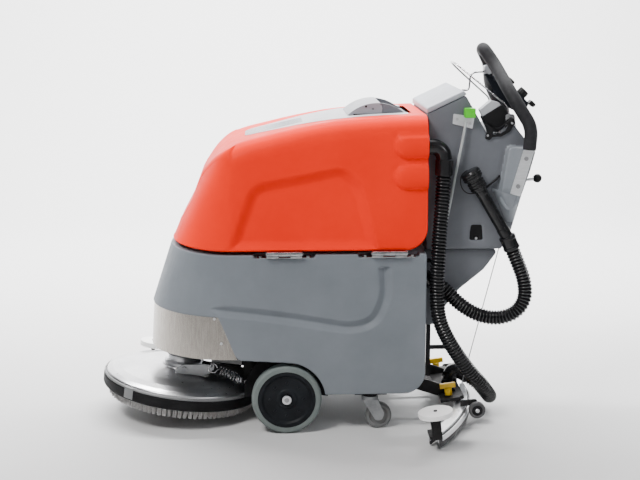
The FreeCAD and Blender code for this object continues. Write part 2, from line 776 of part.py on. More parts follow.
def drive_wheel(side_name, side):
    middle = wheel_middle(side)
    tyre = cut("tyre_" + side_name,
               centred_cylinder("tyre_blank_" + side_name, "wheel_diameter / 2", "wheel_width", middle),
               centred_cylinder("tyre_hole_" + side_name, "rim_diameter / 2", 60, middle))
    dish = Vector(0, side * 17, 0)
    rim = cut("rim_" + side_name,
              centred_cylinder("rim_blank_" + side_name, "rim_diameter / 2", 38, middle),
              centred_cylinder("rim_dish_" + side_name, 74, 8, middle + dish),
              centred_cylinder("rim_bore_" + side_name, "axle_diameter / 2 + shaft_gap", 60, middle))
    return tyre, rim


def drive_axle():
    reach = 2 * (size("wheel_track") + 19)
    parts = [centred_cylinder("axle_shaft", "axle_diameter / 2", reach, AXLE)]
    for side in (-1, 1):
        face = AXLE + Vector(0, side * reach / 2, 0)
        parts.append(cylinder("axle_bolt_%d" % side, 13, 3, face, Y_AXIS * side))
    return group("drive_axle", *parts)


def caster_parts(side_name, side):
    post = Vector(size("caster_place"), side * size("caster_track"), 0)
    axle = post + Vector(size("caster_trail"), 0, size("caster_diameter") / 2)
    wheel = cut("caster_wheel_" + side_name,
                centred_cylinder("caster_blank_" + side_name, "caster_diameter / 2", "caster_width", axle),
                centred_cylinder("caster_bore_" + side_name, "4 + shaft_gap", 60, axle))
    legs = [side_plate("caster_leg_%s_%d" % (side_name, hand),
                       ((118, 88), (162, 88), (181, 46, 10), (174, 26, 11), (156, 26, 11)), 3, post.y + hand * 18.5)
            for hand in (-1, 1)]
    crown = cylinder("caster_crown_" + side_name, 24, 12, post + Vector(0, 0, 85))
    stem = cylinder("caster_stem_" + side_name, 8, 16, post + Vector(0, 0, 97))
    pin = centred_cylinder("caster_axle_" + side_name, 4, 40, axle)
    fork = fuse("caster_fork_" + side_name, crown, stem, *legs, pin)
    plate = block("caster_plate_%s_blank" % side_name, 92, 70, 7, post + Vector(-46, -35, 108))
    race = cylinder("caster_race_" + side_name, 22, 10, post + Vector(0, 0, 98))
    hole = cylinder("caster_hole_" + side_name, "8 + shaft_gap", 15.5, post + Vector(0, 0, 98))
    plate = cut("caster_plate_" + side_name, fuse("caster_base_" + side_name, plate, race), hole)
    return wheel, fork, plate


SPRING_ANCHOR = Vector(-213, -125, 117)
SPRING_FRONT = Vector(-312, -125, 161)
SQUEEGEE_PIVOT = Vector(size("squeegee_pivot_place"), 0, size("squeegee_pivot_height"))


def chassis_brackets(tank, caster_plates):
    """Pressed brackets under the tank, with the pins that the deck spring, squeegee and lever hang on."""
    parts = list(caster_plates)
    for side in (-1, 1):
        axle_plate = prism(((-186, 112, 10), (-178, 230), (-60, 230), (-70, 84, 12), (-125, 78, 14)),
                           upright(side * 150 - 3), Vector(0, 6, 0))
        shaft = Part.makeCylinder(size("axle_diameter") / 2, 20, Vector(AXLE.x, side * 150 - 10, AXLE.z), Y_AXIS)
        parts.append(feature("axle_plate_%d" % side, axle_plate.cut(tank.Shape).cut(shaft)))
        lug = prism(((205, 170), (222, 106, 8), (256, 91, 12), (283, 91, 12), (294, 112, 8), (296, 170)),
                    upright(side * 130 - 3), Vector(0, 6, 0))
        hole = Part.makeCylinder(6, 20, SQUEEGEE_PIVOT + Vector(0, side * 130 - 10, 0), Y_AXIS)
        parts.append(feature("squeegee_lug_%d" % side, lug.cut(tank.Shape).cut(hole)))
    parts.append(cylinder("spring_pin", 4.95, 30, SPRING_ANCHOR + Vector(0, -14, 0), Y_AXIS))
    lug = prism(((-226, 106, 8), (-220, 217), (-194, 217), (-200, 106, 8)), upright(-109), Vector(0, 6, 0))
    parts.append(feature("spring_lug", lug.cut(tank.Shape)))
    parts.append(centred_cylinder("squeegee_pin", 6, 268, SQUEEGEE_PIVOT))
    parts.append(cylinder("lever_pin", 5, 85, Vector(LEVER_PIVOT.x, -165, LEVER_PIVOT.z), Y_AXIS))
    parts.append(block("rear_post", 12, 12, 160, Vector(311, -126, 130)))
    parts.append(block("post_strap", 57, 5, 12, Vector(323, -122, 209)))
    return group("chassis_brackets", *parts)


# ================================================================ scrub deck, drawn level, then raised

DECK = Vector(size("deck_place"), 0, 0)
DECK_RAISED = Placement(Vector(), Rotation(Y_AXIS, size("deck_raise")), AXLE)


def raised(obj, placement):
    obj.Placement = placement.multiply(obj.Placement)
    return obj


def deck_dome():
    return turned("deck_dome", ((29, 104), (63, 104, 2), (65, 98, 3), (150, 93, 90), (206, 82, 30), (226, 72, 8),
                                (229, 62), (225, 62), (222, 69, 6), (204, 78, 28), (149, 89, 90), (61, 94, 3),
                                (59, 100, 2), (29, 100)), DECK)


def deck_bumper():
    return turned("deck_bumper", ((221, 28), (232, 28, 4), (235, 44, 8), (235, 62, 4), (232, 67, 2), (229.3, 67),
                                  (229.3, 62), (221, 62)), DECK)


def scrub_brush():
    plate = turned("brush_plate",
                   ((10.05, 40), (213, 40, 2), (213, 48, 2), (45, 50), (40, 88, 3), (10.05, 88)), DECK)
    ring = turned("bristle_ring", ((70, 1), (215, 1), (212, 40), (70, 40)), DECK)
    return group("scrub_brush", plate, ring)


def brush_motor():
    return turned("brush_motor", ((0, 55), (10, 55), (10, 104), (60, 104), (60, 113, 3), (50, 117), (50, 128),
                                  (56, 132, 2), (56, 270, 8), (30, 282, 5), (0, 282)), DECK)


GUIDE = Vector(-512, 222, 0)


def guide_roller():
    return cut("guide_roller", cylinder("guide_blank", 42, 16, GUIDE + Vector(0, 0, 83)),
               cylinder("guide_bore", "6 + shaft_gap", 40, GUIDE + Vector(0, 0, 70)))


def guide_bracket():
    post = cylinder("guide_post", 6, 40, GUIDE + Vector(0, 0, 62))
    foot = prism(((-530, 205, 8), (-500, 240, 8), (-450, 190, 8), (-470, 150, 8)), level(60), Vector(0, 0, 5))
    collar = Part.makeCylinder(235.3, 60, DECK + Vector(0, 0, 30))
    return [post, feature("guide_foot", foot.cut(collar))]


def deck_arm():
    """Side plates back to the axle, their cross block, and the spring's bracket with its pin."""
    outline = ((-352, 105), (-352, 136, 10), (-130, 122, 10), (-82, 122, 18), (-82, 78, 18), (-130, 82, 14),
               (-240, 98, 60))
    parts = [side_plate("arm_plate_%d" % side, outline, 10, side * 67) for side in (-1, 1)]
    parts.append(block("arm_block", 90, 124, 24, Vector(-325, -62, 110)))
    bushes = cylinder("arm_bores", "axle_diameter / 2 + shaft_gap", 300, AXLE - Y_AXIS * 150, Y_AXIS)
    arm = cut("arm_frame", fuse("arm_blank", *parts), bushes)
    bracket = side_plate("spring_bracket", ((-430, 99, 4), (-409, 126, 12), (-346, 134, 6), (-322, 132, 8),
                                            (-318, 116, 8), (-345, 99, 4)), 8, -98)
    inverse = DECK_RAISED.inverse()
    pin_start = inverse.multVec(SPRING_FRONT) + Vector(0, 24, 0)
    pin = cylinder("spring_front_pin", 3, 32, pin_start, -Y_AXIS)
    bolt = cylinder("bracket_bolt", 9, 4, Vector(-400, -102, 112), -Y_AXIS)
    return group("deck_arm", arm, bracket, pin, bolt, *guide_bracket())


def deck_spring():
    run = SPRING_FRONT - SPRING_ANCHOR
    along = run / run.Length
    coil = Part.makeCylinder(13, run.Length - 44, SPRING_ANCHOR + along * 18, run)
    coil = coil.cut(Part.makeCylinder(9.5, run.Length, SPRING_ANCHOR, run))
    parts = [coil]
    for centre, ring, towards in ((SPRING_ANCHOR, 8, along), (SPRING_FRONT, 13, -along)):
        eye = Part.makeTorus(ring, 3, centre, Y_AXIS)
        reach = 22 if ring == 8 else 28
        stalk = Part.makeCylinder(3, reach - ring + 3, centre + towards * (ring - 1), towards)
        bridge = Part.makeCylinder(11, 3, centre + towards * (reach - 3), towards)
        parts += [eye, stalk, bridge]
    return feature("deck_spring", parts[0].fuse(parts[1:]))


# ================================================================ squeegee, drawn level, then raised

ARC = Vector(size("squeegee_centre"), 0, 0)
SQUEEGEE_RAISED = Placement(Vector(), Rotation(Y_AXIS, -size("squeegee_raise")), SQUEEGEE_PIVOT)
BLADE = size("squeegee_radius")


def arc_bar(outline, half_angle):
    """A section (radius, z) swung round the squeegee's arc."""
    section = Part.Face(wire([(ARC.x + point[0], *point[1:]) for point in outline], upright(0)))
    section.rotate(ARC, Z_AXIS, -half_angle)
    return section.revolve(ARC, Z_AXIS, 2 * half_angle)


def squeegee_body():
    angle = size("squeegee_half_angle")
    channel = arc_bar(((BLADE - 40, 14), (BLADE - 40, 36, 3), (BLADE - 4, 36, 3), (BLADE - 4, 14), (BLADE - 8, 14),
                       (BLADE - 8, 30), (BLADE - 36, 30), (BLADE - 36, 14)), angle)
    strip = arc_bar(((BLADE, 16), (BLADE, 30), (BLADE + 2.5, 30), (BLADE + 2.5, 16)), angle - 1)
    tower = Part.makeBox(14, 12, 26, Vector(418, -66, 36))
    return feature("squeegee_body", Part.makeCompound([channel.fuse(tower), strip]))


def squeegee_blades():
    angle = size("squeegee_half_angle")
    rear = arc_bar(((BLADE - 4, 0), (BLADE - 4, 31), (BLADE, 31), (BLADE, 0)), angle)
    front = arc_bar(((BLADE - 43, 0), (BLADE - 43, 29), (BLADE - 40, 29), (BLADE - 40, 0)), angle - 1)
    return feature("squeegee_blades", Part.makeCompound([rear, front]))


NOZZLE = ((396, 0, 36), (396, 0, 72), (411, 0, 90), (433, 0, 80), (452, 0, 64))


def squeegee_nozzle(hose_run):
    """Bent tube on the squeegee, cut to the end of the hose that it meets."""
    level_hose = hose_run.Shape.copy()
    level_hose.Placement = SQUEEGEE_RAISED.inverse().multiply(level_hose.Placement)
    return feature("squeegee_nozzle", swept(points(NOZZLE), size("hose_diameter") + 3).cut(level_hose))


WING_KNOB = Vector(374, 130, 58)
WALL_ROLLER = Vector(301, 420, 103)
SUPPORT_ROLLER = Vector(443, 200, 24)


def mirrored(point, side):
    return Vector(point.x, side * point.y, point.z)


def squeegee_bracket():
    """Arms to the lift hinge, the cross bar with its studs, and the brackets of all four rollers."""
    arms = []
    for side in (-1, 1):
        arm = side_plate("lift_arm_%d" % side, ((256, 92, 10), (258, 118, 12), (290, 118, 10), (396, 66, 8),
                                                (400, 47), (352, 47, 6)), 10, side * 98)
        arms.append(arm)
    bar = block("cross_bar", 58, 320, 10, Vector(346, -160, 46))
    pads = [block("cross_pad_%d" % side, 22, 40, 10, Vector(394, side * 60 - 20, 36.2)) for side in (-1, 1)]
    bridge = block("cross_bridge", 24, 300, 10, Vector(392, -150, 46))
    studs = [cylinder("stud_%d" % side, 4, 22, mirrored(WING_KNOB, side) - Z_AXIS * 2) for side in (-1, 1)]
    bore = centred_cylinder("lift_bores", "6 + shaft_gap", 300, SQUEEGEE_PIVOT)
    nozzle_room = centred_cylinder("nozzle_room", 27, 60, Vector(396, 0, 60), Z_AXIS)
    frame = cut("lift_frame", fuse("lift_blank", *arms, bar, bridge, *pads, *studs), bore, nozzle_room)
    ends = []
    for side in (-1, 1):
        spot = mirrored(WALL_ROLLER, side)
        tower = block("wall_post_%d" % side, 26, 22, 65, spot + Vector(-16, -11, -67))
        foot = block("wall_foot_%d" % side, 30, 60, 8, Vector(277, side * 401 - 30, 40.2))
        pin = cylinder("wall_pin_%d" % side, 5, 18, spot - Z_AXIS * 3)
        ends.append(fuse("wall_bracket_%d" % side, tower, foot, pin))
        wheel = mirrored(SUPPORT_ROLLER, side)
        cheek = side_plate("support_cheek_%d" % side, ((398, 36.2), (400, 54, 6), (448, 52, 8), (452, 22, 8),
                                                       (434, 16, 8), (424, 36.2)), 4, side * 185)
        stub = cylinder("support_stub_%d" % side, 4, 27, wheel - Vector(0, side * 15, 0), Y_AXIS * side)
        ends.append(fuse("support_bracket_%d" % side, cheek, stub))
    return group("squeegee_bracket", frame, *ends)


def wing_knob(side_name, side):
    spot = mirrored(WING_KNOB, side)
    hub = cylinder("wing_hub_" + side_name, 11, 22, spot)
    wings = block("wings_" + side_name, 46, 9, 15, spot + Vector(-23, -4.5, 21))
    bore = cylinder("wing_bore_" + side_name, "4 + shaft_gap", 21, spot - Z_AXIS)
    return cut("wing_knob_" + side_name, fuse("wing_blank_" + side_name, hub, wings), bore)


def wall_roller(side_name, side):
    spot = mirrored(WALL_ROLLER, side)
    return cut("wall_roller_" + side_name,
               cylinder("wall_disc_" + side_name, "wall_roller_diameter / 2", 13, spot),
               cylinder("wall_bore_" + side_name, "5 + shaft_gap", 30, spot - Z_AXIS * 5))


def support_roller(side_name, side):
    middle = mirrored(SUPPORT_ROLLER, side)
    return cut("support_roller_" + side_name,
               centred_cylinder("support_disc_" + side_name, 24, 20, middle),
               centred_cylinder("support_bore_" + side_name, "4 + shaft_gap", 40, middle))


def lift_wire():
    """Pull wire from the column down to the squeegee's tower."""
    lower = SQUEEGEE_RAISED.multVec(Vector(425, -60, 62))
    return between("lift_wire", 1.5, Vector(522, -120, 524), lower + Vector(0, 0, 1))


# ================================================================ the whole machine

tank = solution_tank()
frame = handle_frame()
hose_upper, hose_lower = suction_hose_parts()
drain_run = hose("drain_hose", DRAIN_HOSE, size("hose_diameter"))
doc.recompute()
nodes = {
    "solution_tank": tank,
    "front_cover": front_cover(),
    "recovery_hood": recovery_hood(),
    "hood_top_panel": hood_top_panel(),
    "tank_lid": tank_lid(),
    "lid_cradle": group("lid_cradle", lid_cradle(), lid_pin()),
    "tank_hinges": group("tank_hinges", hinge_leaves("tank_leaves", (-KNUCKLE - KNUCKLE_GAP, KNUCKLE + KNUCKLE_GAP),
                                                     150, SEAM - 9), *hinge_pins()),
    "hood_hinges": hinge_leaves("hood_hinges", (0,), 90, size("hood_floor") - 2),
    "body_screws": group("body_screws", *cover_screws(), *hinge_screws(), *handle_screws(), *tap_screws()),
    "battery_pack": block("battery_pack", 420, 290, 250, Vector(-180, -145, 236)),
    "rear_column": rear_column(),
    "column_cap": column_cap(),
    "rear_housing": rear_housing(),
    "vacuum_motor": vacuum_motor(),
    "handle_frame": frame,
    "handle_grip": handle_grip(frame),
    "control_housing": control_housing(),
    "speed_knob": panel_knob("speed_knob", 12, 13, 14, -52),
    "water_knob": panel_knob("water_knob", 16, 18, 62, -52),
    "paddle_switch": paddle_switch(),
    "wire_bail": wire_bail(),
    "wire_fittings": wire_fittings(),
    "battery_connector": battery_connector(),
    "green_tap": green_tap(),
    "level_tube": hose("level_tube", LEVEL_TUBE, 8),
    "hose_fittings": hose_fittings(),
    "suction_elbow": suction_elbow(),
    "suction_hose": hose_upper,
    "suction_hose_low": hose_lower,
    "drain_wand": drain_wand(drain_run),
    "drain_hose": drain_run,
    "lift_lever": lift_lever(),
    "lift_wire": lift_wire(),
    "drive_axle": drive_axle(),
    "deck_spring": deck_spring(),
}
plates = []
for side_name, side in SIDES:
    nodes["tyre_" + side_name], nodes["rim_" + side_name] = drive_wheel(side_name, side)
    wheel, fork, plate = caster_parts(side_name, side)
    nodes["caster_wheel_" + side_name] = wheel
    nodes["caster_fork_" + side_name] = fork
    plates.append(plate)
nodes["chassis_brackets"] = chassis_brackets(tank, plates)
for name, part in (("deck_dome", deck_dome()), ("deck_bumper", deck_bumper()), ("scrub_brush", scrub_brush()),
                   ("brush_motor", brush_motor()), ("deck_arm", deck_arm()), ("guide_roller", guide_roller())):
    nodes[name] = raised(part, DECK_RAISED)
for name, part in (("squeegee_body", squeegee_body()), ("squeegee_blades", squeegee_blades()),
                   ("squeegee_nozzle", squeegee_nozzle(hose_lower)), ("squeegee_bracket", squeegee_bracket())):
    nodes[name] = raised(part, SQUEEGEE_RAISED)
for side_name, side in SIDES:
    for name, part in (("wing_knob_", wing_knob(side_name, side)), ("wall_roller_", wall_roller(side_name, side)),
                       ("support_roller_", support_roller(side_name, side))):
        nodes[name + side_name] = raised(part, SQUEEGEE_RAISED)

doc.recompute()
for obj in doc.Objects:
    if "Invalid" in obj.State or "Error" in obj.State:
        raise RuntimeError("%s failed to compute: %s" % (obj.Name, obj.State))
os.makedirs("parts", exist_ok=True)
for name, obj in nodes.items():
    obj.Label = name
    shape = obj.Shape
    if shape.isNull() or not shape.isValid() or not shape.Solids:
        raise RuntimeError("%s has no valid solid" % name)
    shape.exportStep("parts/%s.step" % name)
print("%d sub-parts written" % len(nodes))
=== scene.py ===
"""Walk-behind scrubber-dryer: the looks.

Metres, in the CAD frame: +X points to the operator's handle, -Y to the near side.
"""
import bmesh
import bpy
import json
import random
from math import cos, pi, radians, sin, sqrt, tan
from mathutils import Matrix, Vector

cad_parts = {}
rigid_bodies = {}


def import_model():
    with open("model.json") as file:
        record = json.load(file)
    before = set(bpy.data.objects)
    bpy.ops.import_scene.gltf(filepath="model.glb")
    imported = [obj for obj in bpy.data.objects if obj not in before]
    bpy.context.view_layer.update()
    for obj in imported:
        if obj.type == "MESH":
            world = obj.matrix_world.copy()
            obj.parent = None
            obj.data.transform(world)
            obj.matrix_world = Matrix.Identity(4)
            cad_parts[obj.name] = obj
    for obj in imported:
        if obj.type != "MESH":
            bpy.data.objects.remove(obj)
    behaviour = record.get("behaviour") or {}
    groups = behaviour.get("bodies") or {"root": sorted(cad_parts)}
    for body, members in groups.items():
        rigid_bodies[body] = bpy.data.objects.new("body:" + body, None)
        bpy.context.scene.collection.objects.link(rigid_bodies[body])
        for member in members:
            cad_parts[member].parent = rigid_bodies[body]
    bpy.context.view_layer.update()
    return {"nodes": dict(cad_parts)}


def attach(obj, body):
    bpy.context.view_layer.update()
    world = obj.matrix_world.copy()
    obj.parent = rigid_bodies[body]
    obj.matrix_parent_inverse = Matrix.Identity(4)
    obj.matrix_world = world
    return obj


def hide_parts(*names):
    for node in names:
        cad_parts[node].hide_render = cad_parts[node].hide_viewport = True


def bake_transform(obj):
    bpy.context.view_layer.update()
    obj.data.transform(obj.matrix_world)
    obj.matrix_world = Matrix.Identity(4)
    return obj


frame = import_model()

SIDES = (("left", -1), ("right", 1))


# ---- camera, light and floor

CAMERA_PLACE = (-0.179, -3.75, 1.244)
CAMERA_TURN = (79, 0, -2.83)
CAMERA_LENS = 72.56
# each light's place, aim, size, power and colour
LIGHTS = {
    "key_light": ((-2.1, -2.5, 4.2), (0, 0, 0.45), (1.2, 1.2), 235, (1.0, 0.985, 0.97)),
    "side_light": ((2.6, -2.6, 2.6), (0.2, 0, 0.6), (0.9, 1.2), 26, (0.96, 0.98, 1.0)),
    "top_light": ((0.1, 0.3, 3.4), (0, 0, 0.4), (2.0, 1.2), 20, (1, 1, 1)),
    "wall_light": ((0.0, 1.4, 3.8), (0, 4.4, 1.2), (6.0, 1.0), 1700, (1, 1, 1)),
}
SKY_COLOUR = (0.95, 0.97, 1.0, 1)
HORIZON_STRENGTH = 0.07
ZENITH_STRENGTH = 0.42
FLOOR_COLOUR = (0.56, 0.56, 0.56, 1)
FLOOR_HALF_WIDTH = 8.0
FLOOR_FRONT = -5.2
FLOOR_BACK = 3.2
FRONT_WALL_TOP = 4.0
BACK_WALL_TOP = 6.0
SWEEP = 1.6
SWEEP_STEPS = 12


def in_scene(name, data):
    """A new object with this data, in the scene."""
    obj = bpy.data.objects.new(name, data)
    bpy.context.scene.collection.objects.link(obj)
    return obj


def camera():
    data = bpy.data.cameras.new("camera")
    data.lens = CAMERA_LENS
    obj = in_scene("camera", data)
    obj.location = CAMERA_PLACE
    obj.rotation_euler = [radians(angle) for angle in CAMERA_TURN]
    bpy.context.scene.camera = obj


def area_light(name, place, aim, size, power, colour):
    data = bpy.data.lights.new(name, "AREA")
    data.shape = "RECTANGLE"
    data.size, data.size_y = size
    data.energy = power
    data.color = colour
    obj = in_scene(name, data)
    obj.location = place
    obj.rotation_euler = (Vector(aim) - Vector(place)).to_track_quat("-Z", "Y").to_euler()


def node_with(tree, kind, **inputs):
    """A new shader node with these input values."""
    node = tree.nodes.new(kind)
    for socket, value in inputs.items():
        node.inputs[socket.replace("_", " ")].default_value = value
    return node


def studio():
    """The lights, and a sky that is brighter overhead than at the horizon."""
    world = bpy.data.worlds.new("studio")
    bpy.context.scene.world = world
    world.use_nodes = True
    tree = world.node_tree
    background = tree.nodes["Background"]
    background.inputs["Color"].default_value = SKY_COLOUR
    direction = tree.nodes.new("ShaderNodeTexCoord")
    split = tree.nodes.new("ShaderNodeSeparateXYZ")
    tree.links.new(direction.outputs["Generated"], split.inputs["Vector"])
    sky = node_with(tree, "ShaderNodeMapRange", From_Min=0.05, From_Max=1.0, To_Min=HORIZON_STRENGTH,
                    To_Max=ZENITH_STRENGTH)
    tree.links.new(split.outputs["Z"], sky.inputs["Value"])
    tree.links.new(sky.outputs["Result"], background.inputs["Strength"])
    for name, settings in LIGHTS.items():
        area_light(name, *settings)


def floor():
    """A pale floor, swept up into a wall behind the machine and behind the camera."""
    mesh = bpy.data.meshes.new("floor")
    turns = [pi / 2 * step / SWEEP_STEPS for step in range(SWEEP_STEPS + 1)]
    sweep = [(SWEEP * sin(turn), SWEEP - SWEEP * cos(turn)) for turn in turns]
    rows = [(FLOOR_FRONT - SWEEP, FRONT_WALL_TOP)]
    rows += [(FLOOR_FRONT - across, up) for across, up in reversed(sweep)]
    rows += [(FLOOR_BACK + across, up) for across, up in sweep]
    rows.append((FLOOR_BACK + SWEEP, BACK_WALL_TOP))
    corners = [(x, y, z) for y, z in rows for x in (-FLOOR_HALF_WIDTH, FLOOR_HALF_WIDTH)]
    faces = [(2 * i, 2 * i + 1, 2 * i + 3, 2 * i + 2) for i in range(len(rows) - 1)]
    mesh.from_pydata(corners, [], faces)
    mesh.polygons.foreach_set("use_smooth", [True] * len(faces))
    pale = bpy.data.materials.new("pale_floor")
    pale.use_nodes = True
    shader = pale.node_tree.nodes["Principled BSDF"]
    shader.inputs["Base Color"].default_value = FLOOR_COLOUR
    shader.inputs["Roughness"].default_value = 0.8
    mesh.materials.append(pale)
    in_scene("floor", mesh)


# ---- materials

DUST_COLOUR = (0.42, 0.39, 0.34, 1)
DUST_TOP = 0.45
GRAIN_DEPTH = 0.0004


def surface(name, dark, light, rough, metal=0.0, tone_scale=9.0, grain_scale=700.0, grain=0.05,
            stretch=(1, 1, 1), dust=0.0, specular=0.5, clear=0.0):
    """A procedural finish: uneven tone, uneven gloss, a fine grain and, low down, floor dust."""
    made = bpy.data.materials.new(name)
    made.use_nodes = True
    tree = made.node_tree
    link = tree.links.new
    shader = tree.nodes["Principled BSDF"]
    shader.inputs["Metallic"].default_value = metal
    shader.inputs["Specular IOR Level"].default_value = specular
    shader.inputs["Transmission Weight"].default_value = clear
    place = tree.nodes.new("ShaderNodeTexCoord")
    mapping = node_with(tree, "ShaderNodeMapping", Scale=stretch)
    link(place.outputs["Object"], mapping.inputs["Vector"])

    def noise(scale, detail, vector):
        node = node_with(tree, "ShaderNodeTexNoise", Scale=scale, Detail=detail, Roughness=0.6)
        link(vector, node.inputs["Vector"])
        return node.outputs["Fac"]

    ramp = tree.nodes.new("ShaderNodeValToRGB")
    for stop, position, shade in zip(ramp.color_ramp.elements, (0.35, 0.65), (dark, light)):
        stop.position = position
        stop.color = (*shade, 1)
    link(noise(tone_scale, 5, mapping.outputs["Vector"]), ramp.inputs["Fac"])
    tone = ramp.outputs["Color"]
    if dust:
        height = tree.nodes.new("ShaderNodeSeparateXYZ")
        link(place.outputs["Object"], height.inputs["Vector"])
        low_down = node_with(tree, "ShaderNodeMapRange", From_Min=0.0, From_Max=DUST_TOP, To_Min=dust,
                             To_Max=0.0)
        link(height.outputs["Z"], low_down.inputs["Value"])
        patches = tree.nodes.new("ShaderNodeMath")
        patches.operation = "MULTIPLY"
        link(low_down.outputs["Result"], patches.inputs[0])
        link(noise(23.0, 6, place.outputs["Object"]), patches.inputs[1])
        blend = tree.nodes.new("ShaderNodeMix")
        blend.data_type = "RGBA"
        blend.inputs[7].default_value = DUST_COLOUR
        link(patches.outputs["Value"], blend.inputs["Factor"])
        link(tone, blend.inputs[6])
        tone = blend.outputs[2]
    link(tone, shader.inputs["Base Color"])

    gloss = node_with(tree, "ShaderNodeMapRange", From_Min=0.3, From_Max=0.7, To_Min=rough[0],
                      To_Max=rough[1])
    link(noise(tone_scale * 6, 8, mapping.outputs["Vector"]), gloss.inputs["Value"])
    link(gloss.outputs["Result"], shader.inputs["Roughness"])

    bump = node_with(tree, "ShaderNodeBump", Strength=grain, Distance=GRAIN_DEPTH)
    link(noise(grain_scale, 4, mapping.outputs["Vector"]), bump.inputs["Height"])
    link(bump.outputs["Normal"], shader.inputs["Normal"])
    return made


